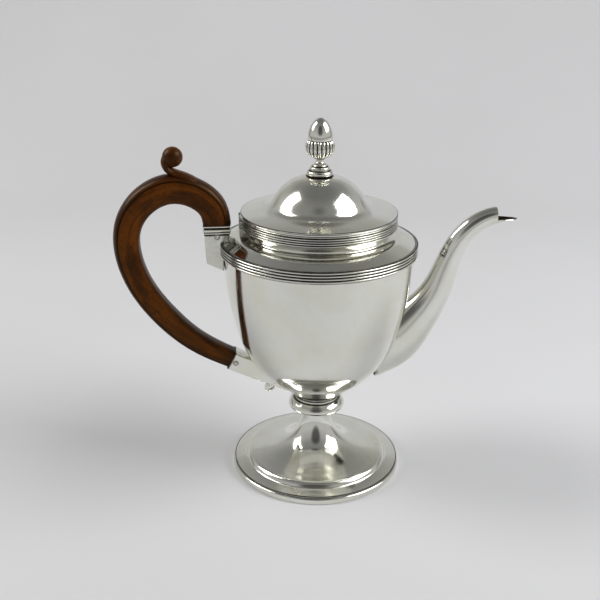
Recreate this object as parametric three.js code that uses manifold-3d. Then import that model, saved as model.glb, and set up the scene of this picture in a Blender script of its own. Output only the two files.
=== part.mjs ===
// Silver coffee pot: a vase-shaped body on a spreading foot, a hinged domed lid with an acorn
// finial, a swan-neck spout and a fruitwood handle pinned in two silver sockets.
// Millimetres, +Z up. The pot's axis is Z, it stands on z = 0, the spout points along +X.
import * as THREE from "three";
import { mergeVertices } from "three/addons/utils/BufferGeometryUtils.js";
import Module from "manifold-3d";

const wasm = await Module();
wasm.setup();

// ---------------------------------------------------------------- driving dimensions

const SHEET = 1; // wall of every spun or raised silver piece
const JOINT_GAP = 0.3; // room for solder between two pieces that touch
const LARGE_SIDES = 36; // facets round the large rings
const SMALL_SIDES = 20; // facets round the small turned pieces
const PIN_SIDES = 12;

const FOOT_RADIUS = 66.8;
const FOOT_RIM_HEIGHT = 4.7;
const FOOT_RIM_WIDTH = 2.6;
const FOOT_FLANGE_WIDTH = 11; // from the rim band in to the raised step
const FOOT_STEP_HEIGHT = 4.6;
const FOOT_HEIGHT = 47; // top of the stem, under the knop
const STEM_RADIUS = 10.8;

const KNOP_RADIUS = 22.1;
const KNOP_HEIGHT = 10.2;
const COLLAR_RADIUS = 16.9;
const COLLAR_HEIGHT = 2.1;

const BOWL_RADIUS = 71.2;
const BOWL_HEIGHT = 119.4; // from the collar up to the foot of the reeded band
// The bowl's outline from its base up: share of the height, share of the radius.
const BOWL_OUTLINE = [
  [0, 0.242],
  [0.05, 0.337],
  [0.115, 0.463],
  [0.16, 0.555],
  [0.215, 0.643],
  [0.275, 0.72],
  [0.35, 0.789],
  [0.425, 0.84],
  [0.52, 0.885],
  [0.62, 0.925],
  [0.72, 0.955],
  [0.84, 0.98],
  [1, 1],
];

const REED_COUNT = 4;
const BAND_HEIGHT = 8.4;
const BAND_THICKNESS = 2.2;
const SHOULDER_RISE = 5.7;
const NECK_RADIUS = 55.2;
const NECK_HOLLOW = 1.6; // how far the neck draws in under the rim band
const NECK_HEIGHT = 6;
const RIM_BAND_HEIGHT = 6.5;
const RIM_BAND_THICKNESS = 2.4;

const LID_EDGE_HEIGHT = 2.6;
const LID_FLANGE_RISE = 2.8;
const LID_DOME_RADIUS = 38;
const LID_DOME_RISE = 24.6;
const BEZEL_DEPTH = 4.6; // how far the lid's bezel drops into the neck
const BEZEL_CLEARANCE = 0.6;

const FINIAL_BASE_RADIUS = 9.9;
const FINIAL_BASE_HEIGHT = 6;
const FINIAL_STEM_HEIGHT = 5.4;
const FINIAL_STEM_RADIUS = 2.8;
const FINIAL_CUP_RADIUS = 10.8;
const FINIAL_CUP_HEIGHT = 12.4;
const FINIAL_LOBES = 18;
const FINIAL_BUD_RADIUS = 9.1;
const FINIAL_BUD_HEIGHT = 16.1;
const STUD_RADIUS = 1.5;
const NUT_ACROSS_FLATS = 6;
const NUT_HEIGHT = 2.4;
const WASHER_RADIUS = 5;

const KNUCKLE_RADIUS = 1.7;
const KNUCKLE_LENGTH = 4.6;
const KNUCKLE_COUNT = 5;
const HINGE_PIN_RADIUS = 0.9;
const HINGE_PIN_CLEARANCE = 0.1;
const HINGE_PLATE_HEIGHT = 1.2;
const HINGE_END_ROOM = 0.4; // between the ends of the hinge and the rim band
const BEZEL_RELIEF = 44; // length of bezel left out beside the hinge

const SPOUT_REACH = 149.8; // from the pot's axis to the tip of the lip
const SPOUT_MOUTH_HEIGHT = 203.6; // middle of the mouth
const SPOUT_ROOT_HEIGHT = 106; // middle of the spout's root on the bowl
const SPOUT_ROOT_DEPTH = 58;
const SPOUT_ROOT_WIDTH = 34;
const SPOUT_MOUTH_DEPTH = 13;
const SPOUT_MOUTH_WIDTH = 12.5;
const SPOUT_LIP_LENGTH = 16.5; // the open lip beyond the mouth's upper edge
const SPOUT_LIP_DROP = 2.6; // from the middle of the mouth down to the tip of the lip
const SPOUT_SIDES = 16;
const STRAINER_HOLE_RADIUS = 1.6;
const STRAINER_PITCH = 8;

const LID_SWING_ROOM = 7; // between the rim band and the handle, for the opening lid
const HANDLE_UPPER_DROP = 3.5; // from the pot's mouth down to the top of the upper socket
const HANDLE_LOWER_HEIGHT = 93.5; // joint of the wood and the lower socket
const HANDLE_BULGE = 66.6; // reach of the handle's centre line beyond its two joints
const HANDLE_DEPTH = 21.5;
const HANDLE_WIDTH = 18;
// The handle's depth and width along its length: share of the length, share of the full size.
const HANDLE_DEPTHS = [
  [0, 0.95],
  [0.2, 1],
  [0.45, 0.9],
  [0.75, 0.84],
  [1, 0.67],
];
const HANDLE_WIDTHS = [
  [0, 1],
  [0.45, 1],
  [1, 0.83],
];
const THUMB_BALL_RADIUS = 7;
const THUMB_BALL_LIFT = 3.6;
const THUMB_BALL_PLACE = 0.2075; // share of the handle's length from its upper joint
const SOCKET_WALL = 1.4;
const SOCKET_HEIGHT = 24;
const SOCKET_TAPER = 4.6; // the upper socket's foot is this much narrower than its mouth
const SOCKET_COLLAR_HEIGHT = 6.2;
const SOCKET_COLLAR_PROUD = 0.9;
const LOWER_SOCKET_STAND_OFF = 15.7; // from the bowl to the mouth of the lower socket
const LOWER_SOCKET_REACH = 2.6 * LOWER_SOCKET_STAND_OFF; // from its mouth to its end on the bowl
const LOWER_SOCKET_TILT = THREE.MathUtils.degToRad(-27);
const TENON_LENGTH = 12;
const TENON_CLEARANCE = 0.3;
const HANDLE_PIN_RADIUS = 1.4;
const HANDLE_PIN_PROUD = 0.4;
const DROP_RADIUS = 3.9;
const DROP_LENGTH = 14;
const DROP_ROOT = 2; // how far the drop's end would reach through the bowl's outside
const DROP_FALL = 2.1; // from the middle of the lower socket's end down to the drop

// ---------------------------------------------------------------- levels up the pot

const KNOP_LEVEL = FOOT_HEIGHT + JOINT_GAP;
const COLLAR_LEVEL = KNOP_LEVEL + KNOP_HEIGHT + JOINT_GAP;
const BOWL_LEVEL = COLLAR_LEVEL + COLLAR_HEIGHT + JOINT_GAP;
const BAND_LEVEL = BOWL_LEVEL + BOWL_HEIGHT;
const SHOULDER_LEVEL = BAND_LEVEL + BAND_HEIGHT;
const NECK_LEVEL = SHOULDER_LEVEL + SHOULDER_RISE;
const RIM_LEVEL = NECK_LEVEL + NECK_HEIGHT;
const MOUTH_LEVEL = RIM_LEVEL + RIM_BAND_HEIGHT;
const LID_LEVEL = MOUTH_LEVEL + JOINT_GAP;
const FLANGE_LEVEL = LID_LEVEL + LID_EDGE_HEIGHT + JOINT_GAP;
const DOME_LEVEL = FLANGE_LEVEL + LID_FLANGE_RISE;
const LID_TOP = DOME_LEVEL + LID_DOME_RISE;
const FINIAL_STEM_LEVEL = LID_TOP + JOINT_GAP + FINIAL_BASE_HEIGHT + JOINT_GAP;
const FINIAL_CUP_LEVEL = FINIAL_STEM_LEVEL + FINIAL_STEM_HEIGHT + JOINT_GAP;
const FINIAL_BUD_LEVEL = FINIAL_CUP_LEVEL + FINIAL_CUP_HEIGHT + JOINT_GAP;

const RIM_RADIUS = NECK_RADIUS + JOINT_GAP + RIM_BAND_THICKNESS;
const BAND_RADIUS = BOWL_RADIUS + JOINT_GAP + BAND_THICKNESS;
const HINGE_X = -(NECK_RADIUS + JOINT_GAP + KNUCKLE_RADIUS);
const LID_PLATE_LEVEL = LID_LEVEL - JOINT_GAP - HINGE_PLATE_HEIGHT;
const HINGE_Z = LID_PLATE_LEVEL - JOINT_GAP - KNUCKLE_RADIUS;
const HINGE_LENGTH = KNUCKLE_COUNT * KNUCKLE_LENGTH + (KNUCKLE_COUNT - 1) * JOINT_GAP;

// ---------------------------------------------------------------- solids and meshes

// A closed geometry as a solid whose faces point outwards.
function solidFrom(geometry) {
  geometry.deleteAttribute("normal");
  geometry.deleteAttribute("uv");
  const merged = mergeVertices(geometry, 1e-4);
  const corners = merged.index.array;
  const outward = [];
  for (let i = 0; i < corners.length; i += 3) {
    const [a, b, c] = corners.slice(i, i + 3);
    if (a !== b && b !== c && c !== a) outward.push(a, b, c);
  }
  const build = (triVerts) =>
    new wasm.Manifold(
      new wasm.Mesh({ numProp: 3, vertProperties: merged.attributes.position.array, triVerts }),
    );
  const made = build(Uint32Array.from(outward));
  return made.volume() > 0 ? made : build(Uint32Array.from(outward).reverse());
}

// A named mesh of a solid.
function piece(name, solid, material) {
  const { numProp, vertProperties, triVerts } = solid.getMesh();
  const geometry = new THREE.BufferGeometry();
  geometry.setAttribute("position", new THREE.BufferAttribute(vertProperties, numProp));
  geometry.setIndex(new THREE.BufferAttribute(triVerts, 1));
  geometry.computeVertexNormals();
  const mesh = new THREE.Mesh(geometry, material);
  mesh.name = name;
  return mesh;
}

function silver(roughness = 0.18) {
  return new THREE.MeshStandardMaterial({ color: 0xc4c1b6, roughness, metalness: 1 });
}

function fruitwood() {
  return new THREE.MeshStandardMaterial({ color: 0x6b3413, roughness: 0.42, metalness: 0 });
}

// Turns an outline of [radius, height] points about Z. An outline that starts and ends on the axis is
// left as it is; any other is closed on itself.
function turned(outline, sides = LARGE_SIDES) {
  const points = outline.map(([radius, height]) => new THREE.Vector2(radius, height));
  const onAxis = points[0].x === 0 && points.at(-1).x === 0;
  if (!onAxis) points.push(points[0].clone());
  const geometry = new THREE.LatheGeometry(points, sides);
  geometry.rotateX(Math.PI / 2);
  return solidFrom(geometry);
}

// An open outline moved sideways by a distance, to its left as it runs.
function offset(outline, distance) {
  return outline.map(([radius, height], i) => {
    const [r0, z0] = outline[Math.max(i - 1, 0)];
    const [r1, z1] = outline[Math.min(i + 1, outline.length - 1)];
    const length = Math.hypot(r1 - r0, z1 - z0);
    if (radius === 0) return [0, height + Math.sign(r1 - r0) * distance];
    return [radius - ((z1 - z0) / length) * distance, height + ((r1 - r0) / length) * distance];
  });
}

// The closed outline of a sheet that lies on the left of an open outline.
function sheetOutline(outline, thickness = SHEET) {
  return [...outline, ...offset(outline, thickness).reverse()];
}

// A solid through rings of the same number of points, closed by a fan at each end.
function loft(rings) {
  const count = rings[0].length;
  const centre = (ring) => ring.reduce((sum, p) => sum.add(p), new THREE.Vector3()).divideScalar(count);
  const points = [...rings.flat(), centre(rings[0]), centre(rings.at(-1))];
  const first = rings.length * count;
  const index = [];
  for (let i = 0; i < count; i++) {
    const j = (i + 1) % count;
    index.push(first, j, i);
    index.push(first + 1, first - count + i, first - count + j);
    for (let k = 0; k < first - count; k += count) {
      index.push(k + i, k + j, k + count + j, k + i, k + count + j, k + count + i);
    }
  }
  const geometry = new THREE.BufferGeometry().setFromPoints(points);
  geometry.setIndex(index);
  return solidFrom(geometry);
}

// A flat outline of [x, z] points given a width along Y, centred on y = 0.
function plate(outline, width) {
  const shape = new THREE.Shape(outline.map(([x, z]) => new THREE.Vector2(x, z)));
  const geometry = new THREE.ExtrudeGeometry(shape, { depth: width, bevelEnabled: false });
  geometry.rotateX(Math.PI / 2);
  geometry.translate(0, width / 2, 0);
  return solidFrom(geometry);
}

function block(x0, x1, y0, y1, z0, z1) {
  const geometry = new THREE.BoxGeometry(x1 - x0, y1 - y0, z1 - z0);
  geometry.translate((x0 + x1) / 2, (y0 + y1) / 2, (z0 + z1) / 2);
  return solidFrom(geometry);
}

// A round bar along Y.
function crossBar(x, z, radius, y0, y1, sides = PIN_SIDES) {
  const geometry = new THREE.CylinderGeometry(radius, radius, y1 - y0, sides);
  geometry.translate(x, (y0 + y1) / 2, z);
  return solidFrom(geometry);
}

// Points of a half-round reed moulding on the outside of a ring, from its foot to its top.
function reeds(radius, level, height) {
  const pitch = height / REED_COUNT;
  const depth = pitch / 2;
  const points = [];
  for (let i = 0; i < REED_COUNT; i++) {
    const middle = level + (i + 0.5) * pitch;
    points.push([radius - depth * 0.7, middle - pitch / 2 + 0.02]);
    points.push([radius - depth * 0.15, middle - pitch * 0.26]);
    points.push([radius, middle]);
    points.push([radius - depth * 0.15, middle + pitch * 0.26]);
  }
  points.push([radius - depth * 0.7, level + height]);
  return points;
}

// ---------------------------------------------------------------- outlines of the body

// The value that a table of [place, value] rows gives at a place, evenly between its rows.
function along(table, place) {
  const next = table.findIndex(([limit]) => limit >= place);
  if (next < 0) return table.at(-1)[1];
  if (next === 0) return table[0][1];
  const [p0, v0] = table[next - 1];
  const [p1, v1] = table[next];
  return v0 + ((v1 - v0) * (place - p0)) / (p1 - p0);
}

// Radius of the bowl's outside, which is full from the foot of the reeded band upwards.
function bowlRadius(height) {
  return BOWL_RADIUS * along(BOWL_OUTLINE, (height - BOWL_LEVEL) / BOWL_HEIGHT);
}

// The bowl's outside from its base up to a level at or above the foot of the band.
function bowlOutline(top) {
  const points = BOWL_OUTLINE.slice(0, -1).map(([rise, share]) => [
    BOWL_RADIUS * share,
    BOWL_LEVEL + BOWL_HEIGHT * rise,
  ]);
  return [...points, [BOWL_RADIUS, top]];
}

// The shoulder's upper face from the band in to the neck, and the neck up to the mouth.
function shoulderOutline() {
  const neckFoot = NECK_RADIUS - NECK_HOLLOW;
  const slope = BOWL_RADIUS - neckFoot;
  return [
    [BOWL_RADIUS, SHOULDER_LEVEL],
    [BOWL_RADIUS - slope * 0.35, SHOULDER_LEVEL + SHOULDER_RISE * 0.5],
    [BOWL_RADIUS - slope * 0.75, SHOULDER_LEVEL + SHOULDER_RISE * 0.86],
    [neckFoot + 0.3, NECK_LEVEL - 0.2],
    [neckFoot, NECK_LEVEL + NECK_HEIGHT * 0.2],
    [neckFoot + NECK_HOLLOW * 0.35, NECK_LEVEL + NECK_HEIGHT * 0.6],
    [NECK_RADIUS, RIM_LEVEL],
    [NECK_RADIUS, MOUTH_LEVEL],
  ];
}

// Everything that a piece soldered on the outside of the body has to stay clear of. The hinge,
// which is let into the rim band, is held by the neck alone.
function bodyEnvelope(gap, rimRadius = RIM_RADIUS) {
  const band = BAND_RADIUS + gap;
  return turned([
    [0, BOWL_LEVEL - gap],
    ...bowlOutline(BAND_LEVEL - gap).map(([radius, height]) => [radius + gap, height]),
    [band, BAND_LEVEL - gap],
    [band, SHOULDER_LEVEL + gap],
    ...offset(shoulderOutline().slice(0, -1), -gap).slice(1, -1),
    [NECK_RADIUS + gap, RIM_LEVEL - gap],
    [rimRadius + gap, RIM_LEVEL - gap + 0.01],
    [rimRadius + gap, MOUTH_LEVEL + gap],
    [0, MOUTH_LEVEL + gap],
  ]);
}

// ---------------------------------------------------------------- foot, knop and collar

function footRimBand() {
  const inner = FOOT_RADIUS - FOOT_RIM_WIDTH;
  return turned([
    [inner, 0],
    [FOOT_RADIUS - 0.4, 0],
    [FOOT_RADIUS, 0.5],
    [FOOT_RADIUS, FOOT_RIM_HEIGHT - 1.2],
    [FOOT_RADIUS - 0.5, FOOT_RIM_HEIGHT - 0.2],
    [FOOT_RADIUS - 1, FOOT_RIM_HEIGHT],
    [inner, FOOT_RIM_HEIGHT],
  ]);
}

// The spreading foot: a flat flange, a raised step, and a bell that draws in to the stem.
function footOutline() {
  const flange = FOOT_RIM_HEIGHT + JOINT_GAP;
  const stepRadius = FOOT_RADIUS - FOOT_FLANGE_WIDTH;
  const stepTop = flange + 2 + FOOT_STEP_HEIGHT;
  const dish = stepRadius - 6;
  const bell = (share, rise) => [
    STEM_RADIUS + (dish - STEM_RADIUS) * share,
    stepTop + (FOOT_HEIGHT - stepTop) * rise,
  ];
  return [
    [FOOT_RADIUS - 1.2, flange + SHEET],
    [stepRadius, flange + 2],
    [stepRadius - 0.6, flange + 4],
    [stepRadius - 2.4, stepTop - 0.3],
    [dish, stepTop],
    bell(0.74, 0.05),
    bell(0.5, 0.14),
    bell(0.3, 0.27),
    bell(0.16, 0.44),
    bell(0.06, 0.64),
    bell(0, 0.86),
    [STEM_RADIUS + 1.2, FOOT_HEIGHT],
  ];
}

function knop() {
  const middle = KNOP_HEIGHT * 0.48;
  const bore = STEM_RADIUS - SHEET;
  return turned(
    [
      [bore, KNOP_LEVEL],
      [STEM_RADIUS + 1.2, KNOP_LEVEL],
      [KNOP_RADIUS - 5, KNOP_LEVEL + 1.4],
      [KNOP_RADIUS - 0.9, KNOP_LEVEL + middle - 1.9],
      [KNOP_RADIUS, KNOP_LEVEL + middle],
      [KNOP_RADIUS - 0.5, KNOP_LEVEL + middle + 2],
      [KNOP_RADIUS - 2, KNOP_LEVEL + KNOP_HEIGHT - 1.4],
      [KNOP_RADIUS - 3.4, KNOP_LEVEL + KNOP_HEIGHT],
      [bore, KNOP_LEVEL + KNOP_HEIGHT],
    ],
    LARGE_SIDES,
  );
}

function stemCollar() {
  const bore = STEM_RADIUS - SHEET;
  return turned([
    [bore, COLLAR_LEVEL],
    [COLLAR_RADIUS + 0.4, COLLAR_LEVEL],
    [COLLAR_RADIUS, COLLAR_LEVEL + COLLAR_HEIGHT / 2],
    [COLLAR_RADIUS + 0.3, COLLAR_LEVEL + COLLAR_HEIGHT],
    [bore, COLLAR_LEVEL + COLLAR_HEIGHT],
  ]);
}

// ---------------------------------------------------------------- body

function bowl() {
  const outside = [[0, BOWL_LEVEL], ...bowlOutline(SHOULDER_LEVEL - SHEET - JOINT_GAP)];
  const shell = turned(sheetOutline(outside));
  return strainerHoles().reduce((body, hole) => body.subtract(hole), shell);
}

// Round holes through the bowl's wall behind the spout, in rows that widen towards the middle.
function strainerHoles() {
  const holes = [];
  for (const row of [-2, -1, 0, 1, 2]) {
    const count = 3 - Math.abs(row) % 2;
    for (let i = 0; i < count; i++) {
      const hole = new THREE.CylinderGeometry(STRAINER_HOLE_RADIUS, STRAINER_HOLE_RADIUS, BOWL_RADIUS, 8);
      hole.rotateZ(Math.PI / 2);
      const height = SPOUT_ROOT_HEIGHT + row * STRAINER_PITCH * 0.8;
      hole.translate(BOWL_RADIUS, (i - (count - 1) / 2) * STRAINER_PITCH, height);
      holes.push(solidFrom(hole));
    }
  }
  return holes;
}

function shoulderBand() {
  const inner = BOWL_RADIUS + JOINT_GAP;
  return turned([
    [inner, BAND_LEVEL],
    ...reeds(BAND_RADIUS, BAND_LEVEL, BAND_HEIGHT),
    [inner, BAND_LEVEL + BAND_HEIGHT],
  ]);
}

function rimBand() {
  const inner = NECK_RADIUS + JOINT_GAP;
  const ring = turned([
    [inner, RIM_LEVEL],
    ...reeds(RIM_RADIUS, RIM_LEVEL, RIM_BAND_HEIGHT),
    [inner, RIM_LEVEL + RIM_BAND_HEIGHT],
  ]);
  const half = HINGE_LENGTH / 2 + HINGE_END_ROOM;
  return ring.subtract(block(-RIM_RADIUS - 1, 0, -half, half, RIM_LEVEL - 1, MOUTH_LEVEL + 1));
}

// ---------------------------------------------------------------- lid

const BEZEL_RADIUS = NECK_RADIUS - SHEET - BEZEL_CLEARANCE;

function lidOutline() {
  const edge = RIM_RADIUS - 0.3;
  const dome = (share, rise) => [LID_DOME_RADIUS * share, DOME_LEVEL + LID_DOME_RISE * rise];
  return [
    [edge, FLANGE_LEVEL + SHEET],
    [(edge + LID_DOME_RADIUS) / 2, FLANGE_LEVEL + SHEET + LID_FLANGE_RISE * 0.35],
    [LID_DOME_RADIUS + 1.6, DOME_LEVEL + 0.2],
    dome(0.96, 0.07),
    dome(0.9, 0.2),
    dome(0.84, 0.38),
    dome(0.76, 0.56),
    dome(0.64, 0.74),
    dome(0.46, 0.9),
    dome(0.24, 0.98),
    dome(0, 1),
  ];
}

function lidShell() {
  const stud = turnedBar(STUD_RADIUS + TENON_CLEARANCE, DOME_LEVEL, LID_TOP + 1);
  return turned(sheetOutline(lidOutline())).subtract(stud);
}

function lidEdgeWire() {
  const inner = BEZEL_RADIUS + JOINT_GAP;
  return turned([
    [inner, LID_LEVEL],
    [RIM_RADIUS - 0.5, LID_LEVEL],
    [RIM_RADIUS, LID_LEVEL + 0.7],
    [RIM_RADIUS, LID_LEVEL + LID_EDGE_HEIGHT - 0.7],
    [RIM_RADIUS - 0.5, LID_LEVEL + LID_EDGE_HEIGHT],
    [inner, LID_LEVEL + LID_EDGE_HEIGHT],
  ]);
}

function lidBezel() {
  const inner = BEZEL_RADIUS - SHEET;
  const foot = MOUTH_LEVEL - BEZEL_DEPTH;
  const top = LID_LEVEL + LID_EDGE_HEIGHT;
  const ring = turned([
    [inner, foot],
    [BEZEL_RADIUS - 0.3, foot],
    [BEZEL_RADIUS, foot + 0.8],
    [BEZEL_RADIUS, top],
    [inner, top],
  ]);
  // Beside the hinge the bezel is cut back, so that it clears the neck as the lid turns.
  const relief = BEZEL_RELIEF / 2;
  return ring.subtract(block(-BEZEL_RADIUS - 1, 0, -relief, relief, foot - 1, LID_LEVEL));
}

// ---------------------------------------------------------------- finial

function turnedBar(radius, z0, z1, sides = PIN_SIDES) {
  return turned([[0, z0], [radius, z0], [radius, z1], [0, z1]], sides);
}

function finialBase() {
  const foot = LID_TOP + JOINT_GAP;
  const step = FINIAL_BASE_HEIGHT * 0.48;
  const bore = STUD_RADIUS + TENON_CLEARANCE;
  const upper = FINIAL_BASE_RADIUS * 0.76;
  return turned(
    [
      [bore, foot],
      [FINIAL_BASE_RADIUS - 0.8, foot],
      [FINIAL_BASE_RADIUS, foot + step / 2],
      [FINIAL_BASE_RADIUS - 0.8, foot + step],
      [upper, foot + step + 0.3],
      [upper, foot + FINIAL_BASE_HEIGHT - 0.6],
      [upper - 1.2, foot + FINIAL_BASE_HEIGHT],
      [bore, foot + FINIAL_BASE_HEIGHT],
    ],
    SMALL_SIDES,
  );
}

function finialStem() {
  const foot = FINIAL_STEM_LEVEL;
  const blind = foot + FINIAL_STEM_HEIGHT * 0.6;
  const stem = turned(
    [
      [0, foot],
      [FINIAL_STEM_RADIUS + 3, foot],
      [FINIAL_STEM_RADIUS + 2.6, foot + 0.9],
      [FINIAL_STEM_RADIUS + 0.6, foot + FINIAL_STEM_HEIGHT * 0.42],
      [FINIAL_STEM_RADIUS, foot + FINIAL_STEM_HEIGHT * 0.72],
      [FINIAL_STEM_RADIUS + 1, foot + FINIAL_STEM_HEIGHT],
      [0, foot + FINIAL_STEM_HEIGHT],
    ],
    SMALL_SIDES,
  );
  return stem.subtract(turnedBar(STUD_RADIUS + TENON_CLEARANCE, foot - 1, blind));
}

// The cup under the bud, its outside worked into upright lobes.
function finialCup() {
  const levels = [
    [0.3, 0],
    [0.62, 0.08],
    [0.88, 0.3],
    [1, 0.58],
    [0.97, 0.8],
    [0.86, 0.95],
    [0.72, 1],
  ];
  const rings = levels.map(([share, rise]) => {
    const ring = [];
    for (let i = 0; i < FINIAL_LOBES * 2; i++) {
      const angle = (i * Math.PI) / FINIAL_LOBES;
      const groove = i % 2 ? 0.93 : 1;
      const radius = FINIAL_CUP_RADIUS * share * groove;
      const height = FINIAL_CUP_LEVEL + FINIAL_CUP_HEIGHT * rise;
      ring.push(new THREE.Vector3(radius * Math.cos(angle), radius * Math.sin(angle), height));
    }
    return ring;
  });
  return loft(rings);
}

function finialBud() {
  const bud = (share, rise) => [FINIAL_BUD_RADIUS * share, FINIAL_BUD_LEVEL + FINIAL_BUD_HEIGHT * rise];
  return turned(
    [
      bud(0, 0),
      bud(0.86, 0),
      bud(1, 0.1),
      bud(0.99, 0.24),
      bud(0.9, 0.46),
      bud(0.72, 0.68),
      bud(0.48, 0.86),
      bud(0.22, 0.965),
      bud(0, 1),
    ],
    SMALL_SIDES,
  );
}

const LID_UNDERSIDE = LID_TOP - SHEET;
const WASHER_LEVEL = LID_UNDERSIDE - JOINT_GAP - SHEET;
const NUT_LEVEL = WASHER_LEVEL - JOINT_GAP - NUT_HEIGHT;

function finialStud() {
  return turnedBar(STUD_RADIUS, NUT_LEVEL - 1.5, FINIAL_STEM_LEVEL + FINIAL_STEM_HEIGHT * 0.5);
}

function finialWasher() {
  const bore = STUD_RADIUS + TENON_CLEARANCE;
  const top = WASHER_LEVEL + SHEET - 0.4;
  return turned([[bore, WASHER_LEVEL], [WASHER_RADIUS, WASHER_LEVEL], [WASHER_RADIUS, top], [bore, top]], SMALL_SIDES);
}

function finialNut() {
  const across = NUT_ACROSS_FLATS / Math.sqrt(3);
  const top = NUT_LEVEL + NUT_HEIGHT;
  const bore = turnedBar(STUD_RADIUS + TENON_CLEARANCE, NUT_LEVEL - 1, top + 1);
  return turned([[0, NUT_LEVEL], [across, NUT_LEVEL], [across, top], [0, top]], 6).subtract(bore);
}

// ---------------------------------------------------------------- hinge

function knuckle(index) {
  const y0 = -HINGE_LENGTH / 2 + index * (KNUCKLE_LENGTH + JOINT_GAP);
  const bore = crossBar(HINGE_X, HINGE_Z, HINGE_PIN_RADIUS + HINGE_PIN_CLEARANCE, y0 - 1, y0 + KNUCKLE_LENGTH + 1);
  return crossBar(HINGE_X, HINGE_Z, KNUCKLE_RADIUS, y0, y0 + KNUCKLE_LENGTH).subtract(bore);
}

function hingePin() {
  const reach = HINGE_LENGTH / 2 + 0.6;
  return crossBar(HINGE_X, HINGE_Z, HINGE_PIN_RADIUS, -reach, reach);
}

// A block as long as the hinge, from the outside of its knuckles in to the neck.
function hingeBlock(z0, z1) {
  const outer = HINGE_X - KNUCKLE_RADIUS;
  const whole = block(outer, outer + 9, -HINGE_LENGTH / 2, HINGE_LENGTH / 2, z0, z1);
  return whole.subtract(bodyEnvelope(JOINT_GAP, NECK_RADIUS));
}

// ---------------------------------------------------------------- spout

// The spout's centre line, from inside the bowl's wall up to the mouth and out along the lip.
function spoutPath() {
  const root = bowlRadius(SPOUT_ROOT_HEIGHT);
  const mouth = SPOUT_REACH - SPOUT_LIP_LENGTH;
  const at = (along, up) =>
    new THREE.Vector3(
      root + (mouth - root) * along,
      0,
      SPOUT_ROOT_HEIGHT + (SPOUT_MOUTH_HEIGHT - SPOUT_ROOT_HEIGHT) * up,
    );
  return new THREE.CatmullRomCurve3([
    at(-0.2, -0.03),
    at(0, 0),
    at(0.2, 0.13),
    at(0.44, 0.4),
    at(0.54, 0.62),
    at(0.655, 0.82),
    at(0.82, 0.945),
    at(1, 1),
    at(1.24, 0.997),
  ]);
}

// An oval ring across the spout at a share of its length, drawn in by an inset.
function spoutRing(path, share, inset) {
  const centre = path.getPointAt(share);
  const tangent = path.getTangentAt(share);
  const rest = Math.min(1, Math.max(0, 1.02 - 1.06 * share));
  const swell = 0.85 * rest ** 3.1 + 0.15 * rest;
  const beak = 1 - 0.5 * THREE.MathUtils.smoothstep(share, 0.88, 1);
  const depth = SPOUT_MOUTH_DEPTH * beak + (SPOUT_ROOT_DEPTH - SPOUT_MOUTH_DEPTH) * swell;
  const width = SPOUT_MOUTH_WIDTH + (SPOUT_ROOT_WIDTH - SPOUT_MOUTH_WIDTH) * swell;
  const ring = [];
  for (let i = 0; i < SPOUT_SIDES; i++) {
    const angle = (2 * Math.PI * i) / SPOUT_SIDES;
    const up = Math.cos(angle) * (depth / 2 - inset);
    const side = Math.sin(angle) * (width / 2 - inset);
    ring.push(new THREE.Vector3(centre.x - tangent.z * up, side, centre.z + tangent.x * up));
  }
  return ring;
}

function spout() {
  const path = spoutPath();
  const steps = 15;
  const tube = (inset, from, to) => {
    const rings = [];
    for (let i = 0; i <= steps; i++) rings.push(spoutRing(path, from + ((to - from) * i) / steps, inset));
    return loft(rings);
  };
  const mouth = SPOUT_REACH - SPOUT_LIP_LENGTH;
  const top = SPOUT_MOUTH_HEIGHT + SPOUT_MOUTH_DEPTH;
  const tip = SPOUT_MOUTH_HEIGHT - SPOUT_LIP_DROP;
  const lipCut = plate(
    [
      [mouth, top],
      [mouth, SPOUT_MOUTH_HEIGHT + SPOUT_MOUTH_DEPTH / 4],
      [SPOUT_REACH, tip],
      [SPOUT_REACH + 1, top],
    ],
    SPOUT_MOUTH_WIDTH * 3,
  );
  const beyond = block(SPOUT_REACH, SPOUT_REACH + 30, -20, 20, 0, top);
  return tube(0, 0, 1)
    .subtract(tube(SHEET, 0, 1))
    .subtract(lipCut)
    .subtract(beyond)
    .subtract(bodyEnvelope(JOINT_GAP));
}

// ---------------------------------------------------------------- handle and its sockets

const JOINT_DEPTH = HANDLE_DEPTH * HANDLE_DEPTHS[0][1];
const HANDLE_END_DEPTH = HANDLE_DEPTH * HANDLE_DEPTHS.at(-1)[1];
const HANDLE_END_WIDTH = HANDLE_WIDTH * HANDLE_WIDTHS.at(-1)[1];
const HANDLE_TOP_X = -Math.max(RIM_RADIUS + LID_SWING_ROOM + JOINT_DEPTH / 2, BAND_RADIUS + 1);
const HANDLE_TOP_Z = MOUTH_LEVEL - HANDLE_UPPER_DROP;
const HANDLE_FOOT_X = -(bowlRadius(HANDLE_LOWER_HEIGHT) + LOWER_SOCKET_STAND_OFF);

// A place given by its share of the way up from the lower joint to the upper one, and its reach
// outwards from the line between them as a share of the handle's bulge.
function handlePoint(up, out) {
  return new THREE.Vector3(
    HANDLE_FOOT_X + (HANDLE_TOP_X - HANDLE_FOOT_X) * up - HANDLE_BULGE * out,
    0,
    HANDLE_LOWER_HEIGHT + (HANDLE_TOP_Z - HANDLE_LOWER_HEIGHT) * up,
  );
}

function handlePath() {
  return new THREE.CatmullRomCurve3([
    handlePoint(0.97, 0),
    handlePoint(1.1, 0.025),
    handlePoint(1.2, 0.18),
    handlePoint(1.24, 0.44),
    handlePoint(1.165, 0.745),
    handlePoint(0.99, 0.96),
    handlePoint(0.78, 1),
    handlePoint(0.55, 0.9),
    handlePoint(0.32, 0.665),
    handlePoint(0.13, 0.353),
    handlePoint(-0.01, -0.04),
  ]);
}

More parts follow.
